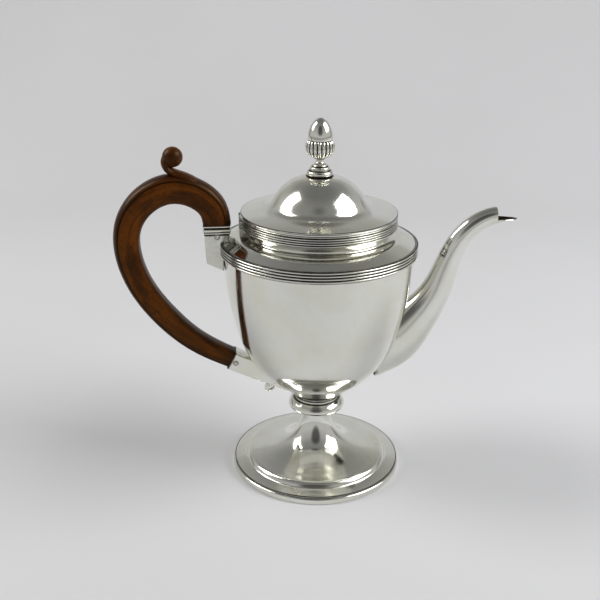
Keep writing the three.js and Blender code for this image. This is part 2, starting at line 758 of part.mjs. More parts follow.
// Half of the handle's section: flat sides, a rounded outer face and a softer inner one.
const HANDLE_SECTION = [
  [-1, 0.5],
  [-0.84, 0.86],
  [-0.6, 1],
  [0.5, 1],
  [0.66, 0.92],
  [0.88, 0.66],
  [1, 0.3],
];

function handleRing(path, share) {
  const centre = path.getPointAt(share);
  const tangent = path.getTangentAt(share);
  const depth = (HANDLE_DEPTH * along(HANDLE_DEPTHS, share)) / 2;
  const width = (HANDLE_WIDTH * along(HANDLE_WIDTHS, share)) / 2;
  const corner = ([out, side], sign) =>
    new THREE.Vector3(
      centre.x + tangent.z * out * depth,
      side * width * sign,
      centre.z - tangent.x * out * depth,
    );
  return [
    ...HANDLE_SECTION.map((point) => corner(point, 1)),
    ...HANDLE_SECTION.map((point) => corner(point, -1)).reverse(),
  ];
}

// Moves an upright solid that stands on the origin so that it points into the bowl from the
// lower end of the handle.
function placeLower(solid) {
  const turn = new THREE.Matrix4().makeRotationY(Math.PI / 2 - LOWER_SOCKET_TILT);
  const place = new THREE.Matrix4().makeTranslation(HANDLE_FOOT_X, 0, HANDLE_LOWER_HEIGHT);
  return solid.transform(place.multiply(turn).toArray());
}

// A bar with a rectangular section that changes evenly from one end to the other.
function taperedBar(z0, [x0, x1, width0], z1, [x2, x3, width1]) {
  const ring = (z, low, high, width) => [
    new THREE.Vector3(low, -width / 2, z),
    new THREE.Vector3(high, -width / 2, z),
    new THREE.Vector3(high, width / 2, z),
    new THREE.Vector3(low, width / 2, z),
  ];
  return loft([ring(z0, x0, x1, width0), ring(z1, x2, x3, width1)]);
}

const SOCKET_MOUTH_Z = HANDLE_TOP_Z - SOCKET_COLLAR_HEIGHT - JOINT_GAP;
const SOCKET_HALF_DEPTH = JOINT_DEPTH / 2 - SOCKET_COLLAR_PROUD;
const SOCKET_HALF_WIDTH = HANDLE_WIDTH / 2;
const UPPER_PIN_Z = SOCKET_MOUTH_Z - HANDLE_PIN_RADIUS - 0.8;
const LOWER_PIN_DEPTH = 4;

function upperTenon(clearance) {
  const half = SOCKET_HALF_DEPTH - SOCKET_WALL - TENON_CLEARANCE + clearance;
  const width = SOCKET_HALF_WIDTH - SOCKET_WALL - TENON_CLEARANCE + clearance;
  const foot = SOCKET_MOUTH_Z - TENON_LENGTH - clearance;
  const bar = block(HANDLE_TOP_X - half, HANDLE_TOP_X + half, -width, width, foot, HANDLE_TOP_Z + 1);
  return bar.subtract(bodyEnvelope(JOINT_GAP + SOCKET_WALL + TENON_CLEARANCE - clearance));
}

function lowerTenon(clearance) {
  const half = HANDLE_END_DEPTH / 2 - SOCKET_WALL - TENON_CLEARANCE + clearance;
  const width = HANDLE_END_WIDTH / 2 - SOCKET_WALL - TENON_CLEARANCE + clearance;
  const end = TENON_LENGTH * 0.6 + clearance;
  return placeLower(block(-half, half, -width, width, -1, end));
}

function upperPin(radius, reach) {
  return crossBar(HANDLE_TOP_X, UPPER_PIN_Z, radius, -reach, reach);
}

function lowerPin(radius, reach) {
  return placeLower(crossBar(0, LOWER_PIN_DEPTH, radius, -reach, reach));
}

function handleGrip() {
  const path = handlePath();
  const steps = 26;
  const rings = [];
  for (let i = 0; i <= steps; i++) rings.push(handleRing(path, i / steps));
  const room = HANDLE_DEPTH;
  const aboveCollar = block(-room, room, -room, room, -room, 0).translate([HANDLE_TOP_X, 0, HANDLE_TOP_Z]);
  const beforeSocket = placeLower(block(-room, room, -room, room, 0, room));
  const top = path.getPointAt(THUMB_BALL_PLACE);
  const ballX = top.x + 2;
  const ballZ = top.z + HANDLE_DEPTH / 2 + THUMB_BALL_RADIUS + THUMB_BALL_LIFT;
  const ball = new THREE.SphereGeometry(THUMB_BALL_RADIUS, 16, 10);
  ball.rotateX(Math.PI / 2);
  ball.translate(ballX, 0, ballZ);
  const neck = new THREE.CylinderGeometry(3.6, 4.6, ballZ - top.z, 10);
  neck.rotateX(Math.PI / 2);
  neck.translate(top.x - 1.4, 0, (ballZ + top.z) / 2);
  return loft(rings)
    .add(solidFrom(ball))
    .add(solidFrom(neck))
    .subtract(aboveCollar)
    .subtract(beforeSocket)
    .add(upperTenon(0))
    .add(lowerTenon(0))
    .subtract(upperPin(HANDLE_PIN_RADIUS + TENON_CLEARANCE, HANDLE_WIDTH))
    .subtract(lowerPin(HANDLE_PIN_RADIUS + TENON_CLEARANCE, HANDLE_WIDTH));
}

function upperSocket() {
  const foot = SOCKET_MOUTH_Z - SOCKET_HEIGHT;
  const left = HANDLE_TOP_X - SOCKET_HALF_DEPTH;
  const right = HANDLE_TOP_X + SOCKET_HALF_DEPTH;
  const side = plate(
    [
      [left, SOCKET_MOUTH_Z],
      [left + 1.2, foot + SOCKET_TAPER],
      [left + SOCKET_TAPER, foot],
      [right, foot - 6],
      [right, SOCKET_MOUTH_Z],
    ],
    SOCKET_HALF_WIDTH * 2,
  );
  return side
    .subtract(upperTenon(TENON_CLEARANCE))
    .subtract(upperPin(HANDLE_PIN_RADIUS + JOINT_GAP, HANDLE_WIDTH))
    .subtract(bodyEnvelope(JOINT_GAP));
}

// A moulded frame round the tenon between the socket's mouth and the wood.
function socketCollar() {
  const levels = [
    [0, 0],
    [0.5, 0.16],
    [0.1, 0.3],
    [0.9, 0.48],
    [0.9, 0.62],
    [0.2, 0.8],
    [1, 0.9],
    [1, 1],
  ];
  const rings = levels.map(([proud, rise]) => {
    const half = SOCKET_HALF_DEPTH + proud * SOCKET_COLLAR_PROUD;
    const width = SOCKET_HALF_WIDTH + proud * SOCKET_COLLAR_PROUD;
    const z = SOCKET_MOUTH_Z + JOINT_GAP + (SOCKET_COLLAR_HEIGHT - JOINT_GAP) * rise;
    return [
      new THREE.Vector3(HANDLE_TOP_X - half, -width, z),
      new THREE.Vector3(HANDLE_TOP_X + half, -width, z),
      new THREE.Vector3(HANDLE_TOP_X + half, width, z),
      new THREE.Vector3(HANDLE_TOP_X - half, width, z),
    ];
  });
  return loft(rings).subtract(upperTenon(TENON_CLEARANCE));
}

// The lower socket's bar, drawn out by a margin and run on into the bowl.
function socketBar(margin) {
  const half = HANDLE_END_DEPTH / 2;
  const width = HANDLE_END_WIDTH + 2 * margin;
  const near = [-half - margin, half + margin, width];
  const far = [-half * 0.9 - margin, half * 0.8 + margin, width * 0.7];
  return placeLower(taperedBar(JOINT_GAP, near, LOWER_SOCKET_REACH, far));
}

function lowerSocket() {
  return socketBar(0)
    .subtract(lowerTenon(TENON_CLEARANCE))
    .subtract(lowerPin(HANDLE_PIN_RADIUS + JOINT_GAP, HANDLE_WIDTH))
    .subtract(bodyEnvelope(JOINT_GAP));
}

// A small drop that stands square on the bowl and fills the corner under the lower socket.
function socketDrop() {
  const height = HANDLE_LOWER_HEIGHT + LOWER_SOCKET_REACH * Math.sin(LOWER_SOCKET_TILT) - DROP_FALL;
  const slope = (bowlRadius(height + 1) - bowlRadius(height - 1)) / 2;
  const lean = Math.atan(slope);
  const geometry = new THREE.SphereGeometry(1, 14, 10);
  geometry.scale(DROP_LENGTH / 2, DROP_RADIUS, DROP_RADIUS);
  geometry.rotateY(-lean);
  const out = DROP_LENGTH / 2 - DROP_ROOT;
  geometry.translate(
    -bowlRadius(height) - out * Math.cos(lean),
    0,
    height - out * Math.sin(lean),
  );
  return solidFrom(geometry).subtract(socketBar(JOINT_GAP)).subtract(bodyEnvelope(JOINT_GAP));
}

// ---------------------------------------------------------------- the pot

const pot = new THREE.Group();

const body = new THREE.Group();
body.add(piece("foot_rim_band", footRimBand(), silver()));
body.add(piece("foot", turned(sheetOutline(footOutline())), silver()));
body.add(piece("knop_ring", knop(), silver()));
body.add(piece("stem_collar", stemCollar(), silver()));
body.add(piece("body_bowl", bowl(), silver(0.15)));
body.add(piece("shoulder_band", shoulderBand(), silver(0.22)));
body.add(piece("shoulder_neck", turned(sheetOutline(shoulderOutline())), silver()));
body.add(piece("rim_band", rimBand(), silver(0.22)));
body.add(piece("spout", spout(), silver()));
body.add(piece("hinge_box", hingeBlock(NECK_LEVEL + 1, HINGE_Z - KNUCKLE_RADIUS - JOINT_GAP), silver(0.3)));
body.add(piece("hinge_pin", hingePin(), silver(0.3)));
pot.add(body);

const lid = new THREE.Group();
lid.add(piece("lid_dome", lidShell(), silver(0.15)));
lid.add(piece("lid_edge_wire", lidEdgeWire(), silver(0.2)));
lid.add(piece("lid_bezel", lidBezel(), silver(0.25)));
lid.add(piece("finial_base", finialBase(), silver(0.2)));
lid.add(piece("finial_stem", finialStem(), silver(0.2)));
lid.add(piece("finial_cup", finialCup(), silver(0.25)));
lid.add(piece("finial_bud", finialBud(), silver(0.18)));
lid.add(piece("finial_stud", finialStud(), silver(0.35)));
lid.add(piece("finial_washer", finialWasher(), silver(0.35)));
lid.add(piece("finial_nut", finialNut(), silver(0.35)));
lid.add(piece("lid_hinge_plate", hingeBlock(LID_PLATE_LEVEL, LID_PLATE_LEVEL + HINGE_PLATE_HEIGHT), silver(0.3)));
pot.add(lid);

for (let i = 0; i < KNUCKLE_COUNT; i++) {
  const onLid = i % 2 === 1;
  const name = (onLid ? "lid_knuckle_" : "body_knuckle_") + (Math.floor(i / 2) + 1);
  (onLid ? lid : body).add(piece(name, knuckle(i), silver(0.3)));
}

const handle = new THREE.Group();
handle.add(piece("handle_grip", handleGrip(), fruitwood()));
handle.add(piece("upper_socket", upperSocket(), silver(0.2)));
handle.add(piece("socket_collar", socketCollar(), silver(0.2)));
handle.add(piece("upper_handle_pin", upperPin(HANDLE_PIN_RADIUS, SOCKET_HALF_WIDTH + HANDLE_PIN_PROUD), silver(0.3)));
handle.add(piece("lower_socket", lowerSocket(), silver(0.2)));
handle.add(piece("lower_handle_pin", lowerPin(HANDLE_PIN_RADIUS, HANDLE_END_WIDTH / 2 + HANDLE_PIN_PROUD), silver(0.3)));
handle.add(piece("socket_drop", socketDrop(), silver(0.2)));
pot.add(handle);

export default pot;
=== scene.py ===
"""The looks of a silver coffee pot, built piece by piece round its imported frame.

Metres, +Z up. The pot turns about Z, the spout points along +X and the handle along -X.
"""

import math

import bmesh
import bpy
import numpy as np
from mathutils import Matrix, Vector


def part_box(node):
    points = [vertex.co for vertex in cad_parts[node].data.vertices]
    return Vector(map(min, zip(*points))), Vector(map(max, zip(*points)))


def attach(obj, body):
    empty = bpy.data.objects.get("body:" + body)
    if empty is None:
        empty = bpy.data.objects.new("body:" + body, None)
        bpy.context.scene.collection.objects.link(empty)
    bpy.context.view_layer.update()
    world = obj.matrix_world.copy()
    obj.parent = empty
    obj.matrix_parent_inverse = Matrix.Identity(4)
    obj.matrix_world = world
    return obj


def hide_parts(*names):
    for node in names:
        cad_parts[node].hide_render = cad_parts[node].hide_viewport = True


bl_info = {
    "name": "Silver Coffee Pot",
    "version": (1, 0, 0),
    "blender": (4, 5, 0),
    "location": "3D View > Sidebar > Coffee Pot",
    "description": "Builds a vase-shaped silver coffee pot with a hinged lid and a fruitwood handle",
    "category": "Add Mesh",
}

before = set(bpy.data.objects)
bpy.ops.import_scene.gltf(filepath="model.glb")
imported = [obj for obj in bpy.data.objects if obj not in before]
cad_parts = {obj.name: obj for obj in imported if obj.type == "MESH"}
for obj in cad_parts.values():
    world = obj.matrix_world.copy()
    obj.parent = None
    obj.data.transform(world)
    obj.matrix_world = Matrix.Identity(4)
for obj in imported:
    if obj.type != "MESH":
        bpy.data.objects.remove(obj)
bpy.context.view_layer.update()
MM = 0.001
SIDES = 192  # facets round the large turned pieces
FINE_SIDES = 96
BAR_SIDES = 40
WALL = 0.9 * MM  # sheet of the raised pieces


def span(node):
    """Lowest and highest corner of a CAD node as arrays."""
    low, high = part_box(node)
    return np.array(low), np.array(high)


def reach(node):
    """Largest radius of a turned CAD node."""
    return float(span(node)[1][1])


def levels(node):
    """Foot and top of a CAD node."""
    low, high = span(node)
    return float(low[2]), float(high[2])


# ---------------------------------------------------------------- outlines


def steps_from(radius, height, *steps):
    """Points given as steps in millimetres from one corner."""
    return np.array(steps, float) * MM + [radius, height]


def shares(low, high, *points):
    """Points given as shares of a box: (0, 0) is its low corner and (1, 1) its high one."""
    return np.array(points, float) * (np.array(high) - low) + low


def joined(*parts):
    """One line of points from several lines and single points."""
    return np.concatenate([np.atleast_2d(part) for part in parts])


def run_along(points):
    """Distance walked along a line of points, from 0 at the first."""
    return np.concatenate([[0], np.cumsum(np.linalg.norm(np.diff(points, axis=0), axis=1))])


def unit(vectors):
    """The same directions, each of length 1."""
    return vectors / np.linalg.norm(vectors, axis=-1, keepdims=True)


def near(distance, size):
    """A bell curve: 1 at no distance, and next to nothing two sizes away."""
    return np.exp(-((distance / size) ** 2))


def curve(points, count):
    """Samples of the natural cubic through the points, which runs at a rate set by their spacing."""
    p = np.asarray(points, float)
    t = run_along(p)
    h = np.diff(t)
    n = len(p)
    system = np.eye(n)
    right = np.zeros_like(p)
    rows = np.arange(1, n - 1)
    system[rows, rows - 1] = h[:-1]
    system[rows, rows] = 2 * (h[:-1] + h[1:])
    system[rows, rows + 1] = h[1:]
    slope = np.diff(p, axis=0) / h[:, None]
    right[1:-1] = 6 * np.diff(slope, axis=0)
    bend = np.linalg.solve(system, right)
    at = np.linspace(0, t[-1], count)
    k = np.clip(np.searchsorted(t, at, side="right") - 1, 0, n - 2)
    a = ((t[k + 1] - at) / h[k])[:, None]
    b = ((at - t[k]) / h[k])[:, None]
    sag = ((a**3 - a) * bend[k] + (b**3 - b) * bend[k + 1]) * (h[k] ** 2)[:, None] / 6
    return a * p[k] + b * p[k + 1] + sag


def softened(points, radius, steps=5):
    """A closed outline with each corner turned into a parabola that starts and ends a radius away."""
    p = np.asarray(points, float)
    before = np.roll(p, 1, axis=0) - p
    after = np.roll(p, -1, axis=0) - p
    size = np.broadcast_to(np.asarray(radius, float), (len(p),))

    def pull(side):
        length = np.linalg.norm(side, axis=1)
        return side * (np.minimum(size, 0.48 * length) / np.maximum(length, 1e-12))[:, None]

    start, end = p + pull(before), p + pull(after)
    t = np.linspace(0, 1, steps)[None, :, None]
    arc = (1 - t) ** 2 * start[:, None] + 2 * t * (1 - t) * p[:, None] + t**2 * end[:, None]
    return arc.reshape(-1, p.shape[1])


def sheet(outside, thickness=WALL):
    """The closed outline of a sheet whose outside is an open outline, the metal on its left."""
    p = np.asarray(outside, float)
    along = unit(np.gradient(p, axis=0))
    inside = p + thickness * np.stack([-along[:, 1], along[:, 0]], 1)
    inside[:, 0] = np.maximum(inside[:, 0], 0)
    return np.concatenate([p, inside[::-1]])


def reeded(radius, foot, top, count, depth, steps=13):
    """The outside of a reeded band: equal half-round beads, each a bow of the sine's positive half."""
    t = np.linspace(0, 1, steps)[1:-1]
    t = np.concatenate([[0.03], t, [0.97]])
    beads = np.arange(count)[:, None] + t[None, :]
    height = foot + (top - foot) * beads / count
    bow = np.sin(np.pi * t) ** 0.5
    out = radius - depth * (1 - np.broadcast_to(bow, height.shape))
    return np.stack([out.ravel(), height.ravel()], 1)


# ---------------------------------------------------------------- meshes


def skin(name, grid, wrap=True, shade_and_grime=None, grain=None):
    """A closed mesh from rings of points: rows of quads between them and one flat face at each end.

    grid[i, j] is point j of ring i. With wrap the last ring joins the first, and there are no end
    faces. The shading value given for each point is painted shade, with tarnish on silver and stain on wood:
    1 where darkest and 0 in the open.
    """
    m, n = grid.shape[:2]
    index = np.arange(m * n).reshape(m, n)
    right = np.roll(index, -1, axis=1)
    if wrap:
        quads = np.stack([index, right, np.roll(right, -1, axis=0), np.roll(index, -1, axis=0)], -1)
    else:
        quads = np.stack([index[:-1], right[:-1], right[1:], index[1:]], -1)
    quads = quads.reshape(-1, 4)
    points = grid.reshape(-1, 3)
    caps = [] if wrap else [index[0][::-1], index[-1]]
    a, b, c, d = (points[quads[:, k]] for k in range(4))
    volume = (np.einsum("ij,ij->i", a, np.cross(b, c)) + np.einsum("ij,ij->i", a, np.cross(c, d))).sum()
    for cap in caps:
        p = points[cap]
        volume += np.einsum("ij,ij->i", np.broadcast_to(p[0], p[1:-1].shape), np.cross(p[1:-1], p[2:])).sum()
    faces = quads.tolist() + [cap.tolist() for cap in caps]
    if volume < 0:
        faces = [face[::-1] for face in faces]
    mesh = bpy.data.meshes.new(name)
    mesh.from_pydata(points.tolist(), [], faces)
    layers = (
        ("shade_and_grime", shade_and_grime, "FLOAT", "value", (m, n)),
        ("grain", grain, "FLOAT_VECTOR", "vector", (m, n, 3)),
    )
    for label, values, kind, field, shape in layers:
        if values is not None:
            layer = mesh.attributes.new(label, kind, "POINT")
            layer.data.foreach_set(field, np.ravel(np.broadcast_to(values, shape)).astype(np.float32))
    return mesh


def add(name, mesh, material, body, nodes, crease=32):
    """Puts a finished mesh in the scene as a piece that rides on a body and stands for CAD nodes."""
    shape = bmesh.new()
    shape.from_mesh(mesh)
    bmesh.ops.remove_doubles(shape, verts=shape.verts, dist=1e-7)
    bmesh.ops.dissolve_degenerate(shape, dist=1e-8, edges=shape.edges)
    shape.to_mesh(mesh)
    shape.free()
    mesh.shade_smooth()
    mesh.set_sharp_from_angle(angle=math.radians(crease))
    mesh.materials.append(material)
    piece = bpy.data.objects.new(name, mesh)
    bpy.context.scene.collection.objects.link(piece)
    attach(piece, body)
    if nodes:
        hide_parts(*nodes)
    return piece


def nooks(outline, places):
    """How much painted shade and tarnish each point gets: a bell curve of its distance from the nearest of
    the given places.

    Each place is (radius, height, size), and the value falls to nothing about two sizes away.
    """
    nook_shade_and_grime = np.zeros(len(outline))
    for radius, height, size in places:
        far = np.hypot(outline[:, 0] - radius, outline[:, 1] - height)
        nook_shade_and_grime = np.maximum(nook_shade_and_grime, near(far, size))
    return nook_shade_and_grime


def spun(radius, height, angle):
    """Rings of points (r cos a, r sin a, z), one for each angle a; each ring may have radii of its own."""
    turn = angle[:, None]
    return np.stack(np.broadcast_arrays(radius * np.cos(turn), radius * np.sin(turn), height), -1)


def turned(outline, sides=SIDES, arc=None, places=(), shade_and_grime=None):
    """A closed outline of (radius, height) turned about Z: each point (r, z) goes to (r cos a, r sin a, z).

    With arc the ring runs only from its first to its last angle, and a flat face closes each end.
    """
    p = np.asarray(outline, float)
    if arc is None:
        angle = np.linspace(0, 2 * np.pi, sides, endpoint=False)
    else:
        angle = np.linspace(arc[0], arc[1], sides)
    # Painted shade and tarnish near the given places, on top of any values already given.
    nook_shade_and_grime = nooks(p, places) if shade_and_grime is None else np.maximum(shade_and_grime, nooks(p, places))
    return skin("turned", spun(*p.T, angle), wrap=arc is None, shade_and_grime=nook_shade_and_grime)


def bar(x, z, radius, y0, y1, round_off, bore=0.0):
    """A round bar along Y with softened ends: its outline in (radius, y) turned about the line x, z."""
    edge = [(bore, y0), (radius, y0), (radius, y1), (bore, y1)]
    p = softened(edge, [0, round_off, round_off, 0], 4)
    angle = np.linspace(0, 2 * np.pi, BAR_SIDES, endpoint=False)
    grid = spun(*p.T, angle)[..., [0, 2, 1]] + [x, 0, z]
    # The whole bar gets a fixed 0.35 of the shade and tarnish value: a little darker all over.
    return skin("bar", grid, shade_and_grime=0.35)


# ---------------------------------------------------------------- finishes


class PotFinish(bpy.types.PropertyGroup):
    """Colours and wear a user would change."""

    silver: bpy.props.FloatVectorProperty(
        name="Silver", description="Colour of the clean silver", subtype="COLOR",
        size=3, min=0, max=1, default=(0.80, 0.80, 0.755),
    )
    # The colour of the tarnish and of the painted shade in corners, grooves and inside the spout.
    tarnish_and_shade: bpy.props.FloatVectorProperty(
        name="Tarnish", description="Colour left in corners and grooves", subtype="COLOR",
        size=3, min=0, max=1, default=(0.032, 0.025, 0.014),
    )
    roughness: bpy.props.FloatProperty(
        name="Polish", description="Roughness of the polished silver", subtype="FACTOR",
        min=0, max=1, default=0.125,
    )
    scratches: bpy.props.FloatProperty(
        name="Scratches", description="Depth of the hairline scratches", subtype="FACTOR",
        min=0, max=1, default=0.10,
    )
    wood: bpy.props.FloatVectorProperty(
        name="Wood", description="Middle tone of the fruitwood", subtype="COLOR",
        size=3, min=0, max=1, default=(0.042, 0.0088, 0.0003),
    )
    wood_dark: bpy.props.FloatVectorProperty(
        name="Dark wood", description="Tone of the worn and stained parts", subtype="COLOR",
        size=3, min=0, max=1, default=(0.009, 0.0022, 0.0002),
    )
    wood_light: bpy.props.FloatVectorProperty(
        name="Light wood", description="Tone of the rubbed parts", subtype="COLOR",
        size=3, min=0, max=1, default=(0.130, 0.032, 0.0007),
    )


class PotSizes(bpy.types.PropertyGroup):
    """Sizes a user would change without leaving the frame."""

    reeds: bpy.props.IntProperty(
        name="Reeds", description="Beads on each reeded band", min=2, max=8, default=4,
    )
    lobes: bpy.props.IntProperty(
        name="Lobes", description="Upright lobes round the finial's cup", min=8, max=36, default=20,
    )
    reed_depth: bpy.props.FloatProperty(
        name="Reed depth", description="Depth of the grooves of the shoulder's band",
        subtype="DISTANCE", unit="LENGTH", min=0.0002, max=0.002, default=1.6 * MM,
    )
    ball_radius: bpy.props.FloatProperty(
        name="Thumb ball", description="Radius of the ball on the handle",
        subtype="DISTANCE", unit="LENGTH", min=0.004, max=0.009, default=7.3 * MM,
    )


class Nodes:
    """Adds and joins the nodes of one material."""

    def __init__(self, name):
        self.material = bpy.data.materials.new(name)
        self.material.use_nodes = True
        self.tree = self.material.node_tree
        self.shader = self.tree.nodes["Principled BSDF"]
        self.coordinates = self.tree.nodes.new("ShaderNodeTexCoord")

    def new(self, kind, **values):
        """A node of one kind, with values on the inputs that the keywords name."""
        node = self.tree.nodes.new(kind)
        for key, value in values.items():
            node.inputs[key.replace("_", " ")].default_value = value
        return node

    def join(self, source, target):
        """Links an output to an input."""
        self.tree.links.new(source, target)

    def noise(self, vector, scale, detail=4.0, roughness=0.55, distortion=0.0):
        """Cloudy noise with so many clouds to the metre."""
        node = self.new(
            "ShaderNodeTexNoise", Scale=scale, Detail=detail, Roughness=roughness, Distortion=distortion,
        )
        self.join(vector, node.inputs["Vector"])
        return node.outputs["Fac"]

    def stretched(self, vector, scale, turn=(0, 0, 0)):
        """The vector turned and then scaled by a factor for each axis."""
        node = self.new("ShaderNodeMapping", Scale=scale, Rotation=turn)
        self.join(vector, node.inputs["Vector"])
        return node.outputs["Vector"]

    def ramp(self, source, low, high, out_low=0.0, out_high=1.0):
        """An eased step from out_low at low to out_high at high."""
        node = self.new("ShaderNodeMapRange", From_Min=low, From_Max=high, To_Min=out_low, To_Max=out_high)
        node.interpolation_type = "SMOOTHSTEP"
        self.join(source, node.inputs["Value"])
        return node.outputs["Result"]

    def math(self, operation, a, b=None, c=None, clamp=False):
        """One sum on numbers or outputs."""
        node = self.new("ShaderNodeMath")
        node.operation = operation
        node.use_clamp = clamp
        for socket, value in zip(node.inputs, (a, b, c)):
            if value is None:
                continue
            if isinstance(value, (int, float)):
                socket.default_value = value
            else:
                self.join(value, socket)
        return node.outputs["Value"]

    def mix(self, share, a, b):
        """Colour a with the given share of colour b laid over it."""
        node = self.new("ShaderNodeMix")
        node.data_type = "RGBA"
        for socket, value in ((node.inputs[0], share), (node.inputs[6], a), (node.inputs[7], b)):
            if isinstance(value, bpy.types.NodeSocket):
                self.join(value, socket)
            elif isinstance(value, (int, float)):
                socket.default_value = value
            else:
                socket.default_value = (*value, 1.0)
        return node.outputs[2]

    def attribute(self, name, output="Fac"):
        """A number or vector that the mesh holds for each point."""
        node = self.new("ShaderNodeAttribute")
        node.attribute_name = name
        return node.outputs[output]

    def bump(self, height, strength, distance, normal=None):
        """Relief from a height that runs from 0 to 1, over another relief where one is given."""
        node = self.new("ShaderNodeBump", Strength=strength, Distance=distance)
        self.join(height, node.inputs["Height"])
        if normal is not None:
            self.join(normal, node.inputs["Normal"])
        return node.outputs["Normal"]


def silver(name, shade=1.0, roughness=None, tarnish_and_shade=1.0, dull=0.0, soot=0.0):
    """Silver: hairline scratches in three directions, soft cloudy wear, and painted shade with tarnish where
    the mesh's shading value is high.
    """
    finish = bpy.context.scene.pot_finish
    n = Nodes(name)
    place = n.coordinates.outputs["Object"]
    base = finish.roughness if roughness is None else roughness
    cloud = n.noise(place, 34.0, 5.0, 0.6)
    fine_cloud = n.noise(place, 210.0, 4.0, 0.6)
    scratch = None
    for turn, scale in (
        ((0.3, 0.5, 0.2), (900, 45, 60)),
        ((1.1, -0.4, 0.9), (60, 1100, 50)),
        ((-0.7, 0.9, 2.1), (50, 70, 1000)),
    ):
        layer = n.ramp(n.noise(n.stretched(place, scale, turn), 1.0, 2.0, 0.5), 0.60, 0.76)
        scratch = layer if scratch is None else n.math("MAXIMUM", scratch, layer)
    patch = n.ramp(n.noise(place, 22.0, 3.0, 0.5), 0.42, 0.66)
    scratch = n.math("MULTIPLY", scratch, patch)
    # Painted shade and tarnish: the mesh's value darkens the silver towards the tarnish colour and roughens
    # it.
    shade_and_grime = n.attribute("shade_and_grime")
    breakup = n.math("MULTIPLY_ADD", fine_cloud, 0.7, 0.62)
    shade_and_oxide = n.math("MULTIPLY", n.math("MULTIPLY", shade_and_grime, breakup), tarnish_and_shade, clamp=True)
    shade_and_oxide = n.ramp(shade_and_oxide, 0.10, 0.78)
    if soot:
        shade_and_oxide = n.math("MAXIMUM", shade_and_oxide, n.ramp(fine_cloud, 0.38, 0.72, 0.0, soot))
    clean = tuple(c * shade for c in finish.silver)
    warm = (clean[0] * 0.93, clean[1] * 0.925, clean[2] * 0.85)
    colour = n.mix(n.ramp(cloud, 0.35, 0.72), clean, warm)
    colour = n.mix(n.math("MULTIPLY", scratch, 0.10), colour, (0.45, 0.43, 0.38))
    # The painted shade and tarnish colour laid over the silver.
    colour = n.mix(shade_and_oxide, colour, tuple(finish.tarnish_and_shade))
    n.join(colour, n.shader.inputs["Base Color"])
    n.shader.inputs["Metallic"].default_value = 1.0
    rough = n.ramp(cloud, 0.3, 0.75, base * 0.75 + dull, base * 1.35 + dull)
    rough = n.math("ADD", rough, n.math("MULTIPLY", scratch, 0.10))
    rough = n.math("ADD", rough, n.math("MULTIPLY", shade_and_oxide, 0.32), clamp=True)
    n.join(rough, n.shader.inputs["Roughness"])
    normal = n.bump(scratch, finish.scratches, 0.00003)
    normal = n.bump(cloud, 0.05, 0.0004, normal)
    n.join(normal, n.shader.inputs["Normal"])
    return n.material


def fruitwood(name):
    """Waxed fruitwood: grain drawn out along the handle, dark stain and painted shade, rubbed patches, small
    pores.
    """
    finish = bpy.context.scene.pot_finish
    n = Nodes(name)
    grain = n.attribute("grain", "Vector")
    place = n.coordinates.outputs["Object"]
    figure = n.noise(n.stretched(grain, (26, 150, 150)), 1.0, 5.0, 0.6, 0.6)
    fibre = n.noise(n.stretched(grain, (60, 900, 900)), 1.0, 3.0, 0.6, 0.2)
    cloud = n.noise(place, 42.0, 4.0, 0.6)
    speck = n.noise(place, 520.0, 3.0, 0.65)
    pores = n.ramp(n.noise(n.stretched(grain, (110, 1500, 1500)), 1.0, 2.0, 0.5), 0.60, 0.70)
    tone = n.mix(n.ramp(figure, 0.36, 0.68), tuple(finish.wood), tuple(finish.wood_light))
    tone = n.mix(n.ramp(cloud, 0.50, 0.76), tone, tuple(finish.wood_dark))
    tone = n.mix(n.math("MULTIPLY", n.ramp(fibre, 0.45, 0.75), 0.35), tone, tuple(finish.wood_dark))
    tone = n.mix(n.math("MULTIPLY", n.ramp(speck, 0.50, 0.72), 0.5), tone, tuple(finish.wood_dark))
    # Dark stain and painted shade, as much as the mesh's shading value.
    stain_and_shade = n.math("MULTIPLY", n.attribute("shade_and_grime"), 1.0, clamp=True)
    tone = n.mix(stain_and_shade, tone, (0.009, 0.0035, 0.0015))
    n.join(tone, n.shader.inputs["Base Color"])
    rough = n.ramp(cloud, 0.3, 0.8, 0.27, 0.42)
    rough = n.math("ADD", rough, n.math("MULTIPLY", pores, 0.2), clamp=True)
    n.join(rough, n.shader.inputs["Roughness"])
    n.shader.inputs["Specular IOR Level"].default_value = 0.2
    n.shader.inputs["Specular Tint"].default_value = (1.0, 0.78, 0.42, 1)
    n.shader.inputs["Coat Tint"].default_value = (1.0, 0.85, 0.6, 1)
    n.shader.inputs["Coat Weight"].default_value = 0.02
    n.shader.inputs["Coat Roughness"].default_value = 0.2
    height = n.math("SUBTRACT", n.math("MULTIPLY", fibre, 0.5), pores)
    normal = n.bump(height, 0.35, 0.0001)
    normal = n.bump(cloud, 0.25, 0.0006, normal)
    n.join(normal, n.shader.inputs["Normal"])
    return n.material


def finish_named(name):
    """The detailed material of a record slot, made the first time it is asked for."""
    made = f"detailed_{name}"
    found = bpy.data.materials.get(made)
    if found:
        return found
    makers = {
        "polished_silver": lambda: silver(made),
        # The reeded slot darkens 2.3 times as hard: strong painted shade and tarnish in the grooves.
        "reeded_silver": lambda: silver(made, 0.97, 0.12, 2.3),
        "worn_silver": lambda: silver(made, 0.66, 0.24, 1.1, 0.05, 0.85),
        "inner_silver": lambda: silver(made, 0.86, 0.26, 1.0, 0.08),
        "fruitwood": lambda: fruitwood(made),
    }
    return makers[name]()


def silver_piece(name, mesh, nodes, body="pot", slot="polished_silver", crease=32):
    """A silver piece in the finish of its slot."""
    return add(name, mesh, finish_named(slot), body, nodes, crease)


# ---------------------------------------------------------------- the body's own outlines

